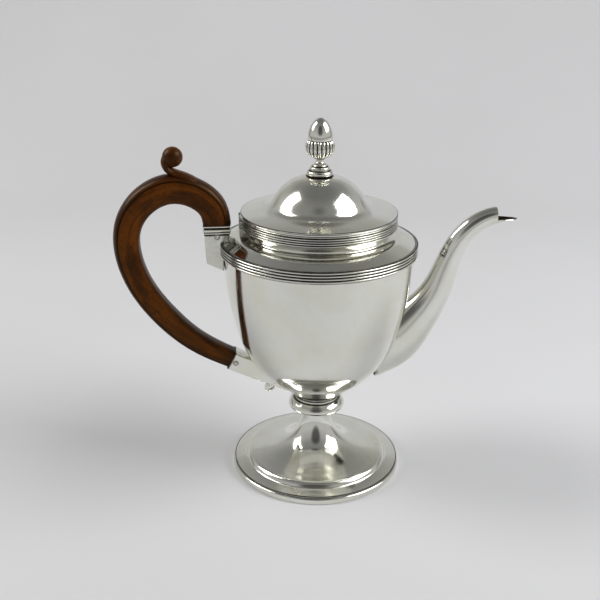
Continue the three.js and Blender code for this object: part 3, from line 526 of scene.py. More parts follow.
FOOT_FOOT, FOOT_TOP = levels("foot")
FOOT_EDGE = reach("foot")
RIM_EDGE = reach("foot_rim_band")
RIM_TOP = levels("foot_rim_band")[1]
KNOP_FOOT, KNOP_TOP = levels("knop_ring")
KNOP_EDGE = reach("knop_ring")
COLLAR_FOOT, COLLAR_TOP = levels("stem_collar")
COLLAR_EDGE = reach("stem_collar")
BOWL_FOOT, BOWL_TOP = levels("body_bowl")
BOWL_EDGE = reach("body_bowl")
BAND_FOOT, BAND_TOP = levels("shoulder_band")
MOUTH = levels("rim_band")[1]
NECK_BAND_FOOT = levels("rim_band")[0]
NECK_BAND_EDGE = reach("rim_band")
STEM = 10.8 * MM
STEM_CORE = STEM - 1 * MM  # where the rings on the stem end inside it
NECK_EDGE = NECK_BAND_EDGE - 2.7 * MM
NECK_WAIST = NECK_EDGE - 1.6 * MM

# The bowl's outside: share of its radius, share of its height up to the band.
BOWL_SHAPE = [
    (0.242, 0), (0.337, 0.05), (0.463, 0.115), (0.555, 0.16), (0.643, 0.215), (0.72, 0.275), (0.789, 0.35),
    (0.84, 0.425), (0.885, 0.52), (0.925, 0.62), (0.955, 0.72), (0.98, 0.84), (1, 1),
]


def bowl_outside():
    """The bowl's outside from its base up, as a dense curve of (radius, height)."""
    return curve(shares((0, BOWL_FOOT), (BOWL_EDGE, BAND_FOOT), *BOWL_SHAPE), 90)


def bowl_radius(height):
    """Radius of the bowl's outside at a height, read off its curve."""
    outside = bowl_outside()
    return np.interp(height, outside[:, 1], outside[:, 0])


def reeded_band(name, node, seat, count, depth, arc=None):
    """A ring of reeds on a seat of the given radius; painted shade and tarnish grow towards the bottom of
    each groove.
    """
    foot, top = levels(node)
    edge = reach(node)
    outline = joined((seat, foot), reeded(edge, foot, top, count, depth), (seat, top))
    # Painted shade and tarnish, deepest at the bottom of each groove, and a quarter where the band meets its
    # seat.
    groove = np.clip((edge - outline[:, 0]) / depth, 0, 1) ** 0.9
    groove[[0, 1, -2, -1]] = 0.25
    silver_piece(name, turned(outline, arc=arc, shade_and_grime=groove), [node], slot="reeded_silver", crease=50)


# ---------------------------------------------------------------- pieces


class POT_OT_foot(bpy.types.Operator):
    """Spreading foot, its rim band, the knop and the collar under the bowl"""

    bl_idname = "pot.foot"
    bl_label = "Foot"

    def execute(self, context):
        self.rim()
        self.dish()
        self.knop()
        self.collar()
        return {"FINISHED"}

    def rim(self):
        """The rim: an oblong with a bevelled top and softened corners, turned about Z."""
        inner = RIM_EDGE - 2.6 * MM
        outline = joined(
            (inner, 0),
            steps_from(RIM_EDGE, 0, (-0.1, 0), (0, 0.6)),
            steps_from(RIM_EDGE, RIM_TOP, (0, -1.0), (-0.9, 0)),
            (inner, RIM_TOP),
        )
        band = softened(outline, np.array([0.2, 0.5, 0.5, 0.9, 0.6, 0.2]) * MM)
        # Painted shade and tarnish on the rim's top, towards its inner side.
        places = [(RIM_EDGE - 1.7 * MM, RIM_TOP, 0.5 * MM)]
        silver_piece("foot_rim", turned(band, places=places), ["foot_rim_band"])

    def dish(self):
        """The dish: a near-flat edge, a step up and a bell that sweeps to the stem, as one bent sheet."""
        step = RIM_EDGE - 11 * MM
        dish = step - 6 * MM
        ledge = FOOT_FOOT + 6.6 * MM
        flange = joined((FOOT_EDGE, FOOT_FOOT + 1.0 * MM), steps_from(step, FOOT_FOOT, (5, 1.5), (1.1, 2.1)))
        rise = joined(
            steps_from(step, FOOT_FOOT, (0.4, 2.6), (-0.4, 4.0)),
            (step - 2.2 * MM, ledge - 0.9 * MM),
            steps_from(dish, ledge, (1.0, -0.25), (-2.5, 0.25)),
        )
        bell = joined(
            (dish - 4.5 * MM, ledge + 0.7 * MM),
            shares(
                (STEM, ledge), (dish, FOOT_TOP),
                (0.74, 0.052), (0.5, 0.14), (0.3, 0.27), (0.16, 0.44), (0.06, 0.64), (0.004, 0.86),
            ),
            steps_from(STEM, FOOT_TOP, (0.3, -1.6), (1.6, 0.2)),
        )
        outside = joined(curve(flange, 12), curve(rise, 26), curve(bell, 90))
        # Painted shade and tarnish at the dish's outer edge and where it meets the stem.
        places = [(FOOT_EDGE, FOOT_FOOT + 1.0 * MM, 0.7 * MM), (STEM + 1.2 * MM, FOOT_TOP, 1.2 * MM)]
        silver_piece("foot_dish", turned(sheet(outside), places=places), ["foot"])

    def knop(self):
        """The knop: a full round ring that eases into the stem below it."""
        middle = KNOP_FOOT + 0.48 * (KNOP_TOP - KNOP_FOOT)
        side = joined(
            (STEM + 1.4 * MM, KNOP_FOOT - 0.1 * MM),
            steps_from(KNOP_EDGE, KNOP_FOOT, (-8.5, 0.5), (-4.6, 1.7)),
            steps_from(KNOP_EDGE, middle, (-1.0, -2.2), (0, 0), (-0.5, 2.0)),
            steps_from(KNOP_EDGE, KNOP_TOP, (-1.9, -1.3), (-3.6, 0.2)),
        )
        foot, top = KNOP_FOOT - 0.1 * MM, KNOP_TOP + 0.2 * MM
        outline = joined((STEM_CORE, foot), curve(side, 60), (STEM_CORE, top))
        # Painted shade and tarnish where the knop meets the stem and the collar.
        places = [(STEM + 1.4 * MM, KNOP_FOOT, 1.1 * MM), (COLLAR_EDGE + 0.6 * MM, top, 0.9 * MM)]
        silver_piece("knop", turned(outline, places=places), ["knop_ring"])

    def collar(self):
        """The collar: a short drum with a slightly hollow side, turned about Z."""
        foot, top = COLLAR_FOOT - 0.1 * MM, COLLAR_TOP + 0.3 * MM
        outline = [
            (STEM_CORE, foot), (COLLAR_EDGE, foot), (COLLAR_EDGE - 0.5 * MM, (COLLAR_FOOT + COLLAR_TOP) / 2),
            (COLLAR_EDGE - 0.1 * MM, top), (STEM_CORE, top),
        ]
        drum = softened(outline, np.array([0, 0.4, 0.5, 0.3, 0]) * MM)
        # Painted shade and tarnish at the collar's foot and top.
        places = [(COLLAR_EDGE, COLLAR_FOOT, 0.5 * MM), (COLLAR_EDGE, top, 0.4 * MM)]
        silver_piece("collar", turned(drum, places=places), ["stem_collar"])


class POT_OT_body(bpy.types.Operator):
    """Bowl, shoulder and neck with their reeded bands"""

    bl_idname = "pot.body"
    bl_label = "Body"

    def execute(self, context):
        sizes = context.scene.pot_sizes
        depth = sizes.reed_depth
        self.bowl()
        reeded_band("shoulder_reeds", "shoulder_band", BOWL_EDGE - 0.2 * MM, sizes.reeds, depth)
        self.shoulder()
        half = math.asin((span("hinge_box")[1][1] + 0.4 * MM) / NECK_BAND_EDGE)
        arc = (-math.pi + half, math.pi - half)
        reeded_band("neck_reeds", "rim_band", NECK_EDGE - 0.1 * MM, sizes.reeds, 0.62 * depth, arc)
        return {"FINISHED"}

    def bowl(self):
        """The bowl: its outside from a flat base up to the band, as one bent sheet."""
        side = joined(bowl_outside(), (BOWL_EDGE, BOWL_TOP))
        base = np.linspace(0, side[0, 0], 10)[:-1]
        outside = joined(np.stack([base, np.full(9, side[0, 1])], 1), side)
        # Painted shade and tarnish at the bowl's base and under the band.
        places = [(*side[0], 0.8 * MM), (BOWL_EDGE, BAND_FOOT, 0.6 * MM)]
        silver_piece("bowl", turned(sheet(outside), places=places), ["body_bowl"])

    def shoulder(self):
        """The shoulder: a shallow slope up from the band that turns up into a hollow neck."""
        neck_foot = NECK_BAND_FOOT - 6 * MM
        slope = joined(
            steps_from(BOWL_EDGE, BAND_TOP, (0.6, -0.4), (-5.6, 2.6), (-12.4, 4.9)),
            steps_from(NECK_WAIST, neck_foot, (1.3, -0.2), (0.1, 0.9), (0.1, 2.6), (0.7, 4.6)),
            (NECK_EDGE, NECK_BAND_FOOT + 0.2 * MM),
        )
        outside = joined(curve(slope, 80), (NECK_EDGE, NECK_BAND_FOOT + 3 * MM), (NECK_EDGE, MOUTH))
        # Painted shade and tarnish just above the shoulder band and under the neck band.
        places = [(*slope[0], 0.5 * MM), (NECK_EDGE, NECK_BAND_FOOT, 0.7 * MM)]
        silver_piece("shoulder", turned(sheet(outside), places=places), ["shoulder_neck"])


class POT_OT_lid(bpy.types.Operator):
    """Domed lid and its edge moulding"""

    bl_idname = "pot.lid"
    bl_label = "Lid"

    def execute(self, context):
        self.dome()
        self.edge()
        return {"FINISHED"}

    def dome(self):
        """The lid's sheet: a near-flat brim, an easy bend and a round dome."""
        foot, top = levels("lid_dome")
        edge = reach("lid_dome")
        bend = foot + 2.8 * MM
        dome_edge = 38 * MM
        profile = joined(
            (edge, foot + 0.7 * MM),
            steps_from(dome_edge, bend, (13, -0.8), (6.6, 0.3), (2.9, 1.1)),
            shares(
                (0, bend), (dome_edge, top),
                (1.0, 0.10), (0.935, 0.215), (0.865, 0.375), (0.77, 0.56), (0.64, 0.74), (0.46, 0.9),
                (0.24, 0.98), (0.0, 1.0),
            ),
        )
        outside = curve(profile, 120)
        outside[-1, 0] = 0
        # Painted shade and tarnish at the dome's brim and round the finial.
        places = [(edge, foot + 0.7 * MM, 0.3 * MM), (9.6 * MM, top, 1.0 * MM)]
        silver_piece("dome", turned(sheet(outside), places=places), ["lid_dome"], "lid")

    def edge(self):
        """The edge moulding: two beads with a groove between them, as one softened outline."""
        foot, top = levels("lid_edge_wire")
        outer = reach("lid_edge_wire")
        bezel = reach("lid_bezel")
        outline = joined(
            (bezel, foot),
            steps_from(outer, foot, (-0.6, 0), (0, 0.5), (0, 0.95), (-0.7, 1.15), (-0.2, 1.45)),
            steps_from(outer, top, (-0.1, -0.3), (-0.7, 0.15)),
            (bezel, top + 0.15 * MM),
        )
        wire = softened(outline, np.array([0, 0.3, 0.3, 0.3, 0.1, 0.4, 0.4, 0.3, 0]) * MM)
        # Painted shade and tarnish in the groove between the beads and along the top.
        places = [(*outline[4], 0.35 * MM), (outer - 0.5 * MM, top + 0.15 * MM, 0.4 * MM)]
        silver_piece("lid_edge", turned(wire, places=places), ["lid_edge_wire"], "lid")


class POT_OT_finial(bpy.types.Operator):
    """Acorn finial: a stepped base, a waisted stem, a lobed cup and a plain bud"""

    bl_idname = "pot.finial"
    bl_label = "Finial"

    def execute(self, context):
        self.base()
        self.stem()
        self.cup(context.scene.pot_sizes.lobes)
        self.bud()
        return {"FINISHED"}

    def base(self):
        """The base: two softened steps under the stem, turned about Z."""
        foot, top = levels("finial_base")
        edge = reach("finial_base")
        step = foot + 0.48 * (top - foot)
        upper = 0.76 * edge
        outline = joined(
            (2 * MM, foot - 0.5 * MM), (edge - 0.6 * MM, foot - 0.5 * MM),
            (edge + 0.1 * MM, (foot + step) / 2), (edge - 0.7 * MM, step),
            steps_from(upper, step, (0, 0.15), (-0.5, 0.9), (0.1, 1.6)),
            steps_from(upper, top, (-0.3, -0.2), (-2.2, 0.2)),
            (2 * MM, top + 0.2 * MM),
        )
        base = softened(outline, np.array([0, 0.5, 1.2, 0.4, 0.2, 0.4, 0.6, 0.5, 0.4, 0]) * MM)
        # Painted shade and tarnish at the foot and at each step of the base.
        places = [(*outline[1], 1.0 * MM), (*outline[4], 0.8 * MM), (*outline[8], 0.9 * MM)]
        silver_piece("finial_foot", turned(base, FINE_SIDES, places=places), ["finial_base"], "lid")

    def stem(self):
        """The stem: a waisted spindle between the base and the cup, turned about Z."""
        foot, top = levels("finial_stem")
        waist = 2.8 * MM
        knots = joined(
            steps_from(waist, foot, (3.2, -0.2), (2.7, 0.8), (0.9, 2.0), (0, 3.7)),
            steps_from(waist, top, (0.5, -0.6), (1.9, 0.5)),
        )
        side = curve(knots, 40)
        outline = joined((0.5 * MM, side[0, 1]), side, (0.5 * MM, side[-1, 1]))
        # Painted shade and tarnish at both ends of the stem.
        places = [(waist + 3.2 * MM, foot, 0.8 * MM), (*knots[-1], 1.1 * MM)]
        silver_piece("finial_stem_waist", turned(outline, FINE_SIDES, places=places), ["finial_stem"], "lid")

    def cup(self, lobes):
        """The cup: a turned outline whose radius is drawn in between lobes by a bow of the sine."""
        foot, top = levels("finial_cup")
        edge = reach("finial_cup")
        knots = joined(
            (0.24 * edge, foot - 0.3 * MM),
            shares(
                (0, foot), (edge, top),
                (0.42, 0.03), (0.66, 0.10), (0.88, 0.27), (0.985, 0.48), (1.0, 0.66), (0.975, 0.82),
                (0.925, 0.95),
            ),
            (0.86 * edge, top + 0.3 * MM),
        )
        side = curve(knots, 60)
        lip = [(0.86 * edge, top + 0.3 * MM), (0.8 * edge, top + 0.1 * MM), (0.76 * edge, top - 1.2 * MM)]
        outline = joined((0.0, side[0, 1]), side, curve(lip, 10)[1:], (0.0, top - 1.2 * MM))
        angle = np.linspace(0, 2 * np.pi, lobes * 16, endpoint=False)
        valley = 1 - np.abs(np.sin(angle * lobes / 2)) ** 0.6
        rise = np.clip((outline[:, 1] - foot) / (top - foot), 0, 1)
        worked = np.interp(rise, [0, 0.12, 0.3, 0.92, 1.0], [0, 0.5, 1, 1, 0.8])
        worked[outline[:, 0] < 0.2 * edge] = 0
        worked[-1] = 0
        radius = outline[:, 0] * (1 - 0.115 * valley[:, None] * worked)
        # Painted shade and tarnish in the valleys between the lobes.
        shade_and_grime = np.clip(valley[:, None] * worked * 1.3, 0, 1)
        mesh = skin("cup", spun(radius, outline[:, 1], angle), shade_and_grime=shade_and_grime)
        silver_piece("finial_lobed_cup", mesh, ["finial_cup"], "lid", crease=60)

    def bud(self):
        """The bud: an egg that comes to a blunt point, turned about Z."""
        foot, top = levels("finial_bud")
        edge = reach("finial_bud")
        knots = shares(
            (0, foot), (edge, top),
            (0.9, -0.04), (0.985, 0.03), (1.0, 0.12), (0.985, 0.26), (0.9, 0.46), (0.73, 0.68),
            (0.5, 0.855), (0.26, 0.955), (0.1, 0.992), (0.0, 1.0),
        )
        side = curve(knots, 80)
        side[-1, 0] = 0
        outline = joined((0.0, side[0, 1]), side)
        # Painted shade and tarnish round the bud's foot.
        places = [(edge * 0.93, foot, 0.9 * MM)]
        silver_piece("finial_nut_bud", turned(outline, FINE_SIDES, places=places), ["finial_bud"], "lid")


# ---------------------------------------------------------------- spout

SPOUT_REACH = float(span("spout")[1][0])
SPOUT_ROOT_HEIGHT = 106 * MM
SPOUT_MOUTH_HEIGHT = 203.6 * MM
SPOUT_LIP = 16.5 * MM
LIP_BROW = SPOUT_MOUTH_HEIGHT + 1.3 * MM
LIP_TIP = SPOUT_MOUTH_HEIGHT - 2.6 * MM
LIP_HALF_WIDTH = 6 * MM
SPOUT_DEPTHS = (58 * MM, 13 * MM)
SPOUT_WIDTHS = (34 * MM, 12.5 * MM)
# The spout's centre line: share of the way out from the bowl to the mouth, share of the way up.
SPOUT_LINE = [
    (-0.2, -0.03), (0, 0), (0.2, 0.13), (0.44, 0.4), (0.54, 0.62), (0.655, 0.82), (0.82, 0.945), (1, 1),
    (1.24, 0.997),
]


def spout_surface(share, angle, inset):
    """Points of the spout: an oval set square across the centre line.

    share and angle are arrays of one shape: how far along the line, and how far round from the top.
    Both axes fall from root to mouth as 0.85 r**3.1 + 0.15 r, r being about the share still to go,
    and the depth then eases to a half over the beak.
    """
    root = bowl_radius(SPOUT_ROOT_HEIGHT)
    mouth = SPOUT_REACH - SPOUT_LIP
    dense = curve(shares((root, SPOUT_ROOT_HEIGHT), (mouth, SPOUT_MOUTH_HEIGHT), *SPOUT_LINE), 400)
    run = run_along(dense)
    run /= run[-1]
    x = np.interp(share, run, dense[:, 0])
    z = np.interp(share, run, dense[:, 1])
    slope = np.gradient(dense, run, axis=0)
    tx, tz = (np.interp(share, run, slope[:, k]) for k in (0, 1))
    length = np.hypot(tx, tz)
    tx, tz = tx / length, tz / length
    rest = np.clip(1.02 - 1.06 * share, 0, 1)
    swell = 0.85 * rest**3.1 + 0.15 * rest
    ease = np.clip((share - 0.88) / 0.12, 0, 1)
    beak = 1 - 0.5 * ease * ease * (3 - 2 * ease)
    depth = SPOUT_DEPTHS[1] * beak + (SPOUT_DEPTHS[0] - SPOUT_DEPTHS[1]) * swell
    width = SPOUT_WIDTHS[1] + (SPOUT_WIDTHS[0] - SPOUT_WIDTHS[1]) * swell
    up = np.cos(angle) * (depth / 2 - inset)
    side = np.sin(angle) * (width / 2 - inset)
    return np.stack([x - tz * up, side, z + tx * up], -1)


def first_share(test, angle, inset, low, high, steps):
    """For each angle the first share from low to high whose point passes the test, else high."""
    share = np.linspace(low, high, steps)
    grid = np.broadcast_to(share[:, None], (steps, len(angle)))
    true = test(spout_surface(grid, np.broadcast_to(angle, grid.shape), inset))
    true[-1] = True
    return share[np.argmax(true, axis=0)]


class POT_OT_spout(bpy.types.Operator):
    """Swan-neck spout that grows out of the bowl and ends in an open lip"""

    bl_idname = "pot.spout"
    bl_label = "Spout"

    def execute(self, context):
        """Runs each line of the skin from where it leaves the bowl to the cut of the lip, and back inside."""
        around = 128
        angle = np.linspace(0, 2 * np.pi, around, endpoint=False)
        mouth = SPOUT_REACH - SPOUT_LIP

        def outside_bowl(p):
            """Whether points are clear of the bowl's outside, less a little to let the spout in."""
            return np.hypot(p[..., 0], p[..., 1]) > bowl_radius(p[..., 2]) - 0.3 * MM

        def beyond_lip(p):
            """Whether points past the mouth are above the lip's slant or outside its tapering width."""
            along = np.clip((p[..., 0] - mouth) / SPOUT_LIP, 0, 1)
            high = p[..., 2] > LIP_BROW + (LIP_TIP - LIP_BROW) * along
            wide = np.abs(p[..., 1]) > LIP_HALF_WIDTH * (1 - along**1.6) ** 0.6
            return ((p[..., 0] > mouth) & (high | wide)) | (p[..., 0] > SPOUT_REACH)

        start = first_share(outside_bowl, angle, 0, 0.0, 0.6, 1500)
        inner_start = first_share(outside_bowl, angle, WALL, 0.0, 0.6, 1500)
        end = first_share(beyond_lip, angle, 0, 0.75, 1.0, 2500)
        t = np.linspace(0, 1, 140)[:, None]
        turn = np.broadcast_to(angle, (140, around))
        outer = spout_surface(start + (end - start) * t, turn, 0)
        inner = spout_surface(inner_start + (end - inner_start) * t[::-1], turn, WALL)
        # Painted shade and tarnish: a little where the spout leaves the bowl, and full painted shade over its
        # whole inside wall.
        root = 0.35 * near(t * (end - start) * 0.3, 0.004)
        shade_and_grime = np.concatenate([root, np.ones_like(root)])
        mesh = skin("spout", np.concatenate([outer, inner]), shade_and_grime=shade_and_grime)
        silver_piece("swan_spout", mesh, ["spout"], crease=45)
        return {"FINISHED"}


# ---------------------------------------------------------------- handle

HANDLE_TOP_X = float(span("socket_collar")[0][0] + span("socket_collar")[1][0]) / 2
HANDLE_TOP_Z = levels("socket_collar")[1]
HANDLE_LOW_Z = 93.5 * MM
LOW_STAND_OFF = 15.7 * MM
HANDLE_LOW_X = -(float(bowl_radius(HANDLE_LOW_Z)) + LOW_STAND_OFF)
LOW_SOCKET_LENGTH = 2.6 * LOW_STAND_OFF
HANDLE_BULGE = 66.6 * MM
HANDLE_DEPTH = 21.5 * MM
HANDLE_WIDTH = 18 * MM
LOW_TILT = math.radians(-27)
# The handle's centre line: share of the way up, share of the bulge out.
HANDLE_LINE = [
    (0.97, 0), (1.1, 0.025), (1.2, 0.18), (1.24, 0.44), (1.165, 0.745), (0.99, 0.96), (0.78, 1), (0.55, 0.9),
    (0.32, 0.665), (0.13, 0.353), (-0.01, -0.04),
]
# Depth and width of the grip: share of the way along, share of the full size.
HANDLE_DEPTHS = np.array([(0, 0.95), (0.2, 1), (0.45, 0.9), (0.75, 0.84), (1, 0.67)])
HANDLE_WIDTHS = np.array([(0, 1), (0.45, 1), (1, 0.83)])
# Half of the grip's section from its outer middle to its inner one: out from the centre line, sideways.
GRIP_SECTION = [
    (1.0, 0.0), (0.985, 0.26), (0.93, 0.52), (0.84, 0.75), (0.72, 0.89), (0.635, 0.925), (0.615, 0.86),
    (0.595, 0.86), (0.57, 0.96), (0.5, 1.0), (0.2, 1.0), (-0.2, 0.995), (-0.55, 0.97), (-0.78, 0.90),
    (-0.92, 0.72), (-0.98, 0.45), (-1.0, 0.0),
]
# The thumb curl's centre line in millimetres, and its half sizes: share along, thickness, breadth.
THUMB_LINE = [
    (-80.0, 226.8), (-88.9, 233.0), (-97.5, 237.6), (-104.6, 240.2), (-108.8, 243.4), (-109.8, 247.6),
    (-107.9, 250.6), (-104.9, 251.3),
]
THUMB_SIZES = [
    (0, 2.0, 7.4), (0.2, 2.7, 7.2), (0.5, 2.7, 6.4), (0.65, 2.7, 5.8), (0.8, 3.2, 5.8), (0.9, 4.0, 5.4),
    (1, 4.2, 4.6),
]


def handle_line(count):
    """The handle's centre line as points, unit tangents and run, from its upper joint to its lower one."""
    up, out = np.array(HANDLE_LINE).T
    x = HANDLE_LOW_X + (HANDLE_TOP_X - HANDLE_LOW_X) * up - HANDLE_BULGE * out
    z = HANDLE_LOW_Z + (HANDLE_TOP_Z - HANDLE_LOW_Z) * up
    dense = curve(np.stack([x, z], 1), 800)
    run = run_along(dense)
    at = np.linspace(0, run[-1], count)
    centre = np.stack([np.interp(at, run, dense[:, k]) for k in (0, 1)], 1)
    return centre, unit(np.gradient(centre, at, axis=0)), at


class POT_OT_handle(bpy.types.Operator):
    """Fruitwood grip with a raised outer strip that curls up into a thumb ball"""

    bl_idname = "pot.handle"
    bl_label = "Handle"

    def execute(self, context):
        """Sets the grip's section square across its centre line at each step, then cuts the two ends."""
        wood = finish_named("fruitwood")
        centre, tangent, run = handle_line(300)
        share = run / run[-1]
        depth = HANDLE_DEPTH * np.interp(share, *HANDLE_DEPTHS.T) / 2
        width = HANDLE_WIDTH * np.interp(share, *HANDLE_WIDTHS.T) / 2
        half = np.array(GRIP_SECTION)
        section = np.concatenate([half, half[-2:0:-1] * [1, -1]])
        out = depth[:, None] * section[None, :, 0]
        side = width[:, None] * section[None, :, 1]
        x = centre[:, None, 0] + tangent[:, None, 1] * out
        z = centre[:, None, 1] - tangent[:, None, 0] * out
        # The two ends are cut square where the silver begins.
        z = np.where(share[:, None] < 0.1, np.maximum(z, HANDLE_TOP_Z), z)
        axis = np.array([math.cos(LOW_TILT), math.sin(LOW_TILT)])
        past = (x - HANDLE_LOW_X) * axis[0] + (z - HANDLE_LOW_Z) * axis[1]
        low_end = (share[:, None] > 0.85) & (past > 0)
        x = np.where(low_end, x - past * axis[0], x)
        z = np.where(low_end, z - past * axis[1], z)
        grid = np.stack([x, side, z], -1)
        grain = np.stack([np.broadcast_to(run[:, None], side.shape), side, out], -1)
        # Painted shade in the groove beside the outer strip and on the inner face towards the pot; the grip
        # is also darker towards both ends and along the outer strip.
        groove = near(section[:, 0] - 0.605, 0.035) * (np.abs(section[:, 1]) > 0.6)
        ends = near(share, 0.03) * 0.8 + near(1 - share, 0.035) * 0.75
        inner = 0.3 * (section[:, 0] < -0.85) + 0.42 * (section[:, 0] > 0.62)
        shade_and_grime = np.clip(np.maximum(groove[None, :], ends[:, None]) + inner[None, :], 0, 1)
        mesh = skin("grip", grid, wrap=False, shade_and_grime=shade_and_grime, grain=grain)
        add("grip", mesh, wood, "pot", ["handle_grip"], 40)
        self.thumb_ball(context.scene.pot_sizes.ball_radius, wood)
        return {"FINISHED"}

    def thumb_ball(self, radius, wood):
        """A strap that lifts off the arch, turns back over itself to the left and ends in a ball."""
        path = curve(steps_from(0, 0, *THUMB_LINE), 90)
        tangent = unit(np.gradient(path, axis=0))
        share = np.linspace(0, 1, 90)
        stations, thick, broad = np.array(THUMB_SIZES).T
        thick = np.interp(share, stations, thick) * MM
        broad = np.interp(share, stations, broad) * MM
        turn = np.linspace(0, 2 * np.pi, 48, endpoint=False)
        up = -np.cos(turn)[None, :] * thick[:, None]
        side = np.sin(turn)[None, :] * broad[:, None]
        x = path[:, None, 0] - tangent[:, None, 1] * up
        z = path[:, None, 1] + tangent[:, None, 0] * up
        grain = np.stack([np.broadcast_to(share[:, None] * 0.03, side.shape), side, up], -1)
        # Darker on the outer side of the strap where it bends back, about two thirds along.
        bend = near(share - 0.66, 0.14)[:, None]
        shade_and_grime = 0.85 * bend * np.clip(-np.cos(turn) * 0.8 + 0.35, 0, 1)[None, :]
        mesh = skin("thumb_curl", np.stack([x, side, z], -1), wrap=False, shade_and_grime=shade_and_grime, grain=grain)
        add("thumb_curl", mesh, wood, "pot", [], 50)

        polar = np.linspace(0, np.pi, 40)
        ring = np.stack([np.sin(polar) * radius, -np.cos(polar) * radius], 1)
        ring[0, 0] = ring[-1, 0] = 0
        grid = spun(*ring.T, turn) + [path[-1, 0], 0, path[-1, 1]]
        grain = grid - [0, 0, HANDLE_TOP_Z]
        # Painted shade on the underside of the ball.
        under = np.clip((0.35 - (ring[:, 1] / radius + 1)) * 1.6, 0, 1)
        mesh = skin("thumb_ball", grid, shade_and_grime=under, grain=grain)
        add("thumb_ball", mesh, wood, "pot", [], 60)


# The handle collar's moulding: share of its height, how far it is drawn in, in millimetres.
COLLAR_MOULDING = [
    (0.0, 0.95), (0.03, 0.55), (0.10, 0.40), (0.17, 0.55), (0.20, 0.95), (0.24, 1.0), (0.27, 0.45),
    (0.34, 0.18), (0.44, 0.10), (0.53, 0.22), (0.57, 0.6), (0.60, 0.95), (0.66, 1.05), (0.74, 0.85),
    (0.80, 0.35), (0.84, 0.05), (0.90, 0.0), (0.97, 0.02), (1.0, 0.15),
]


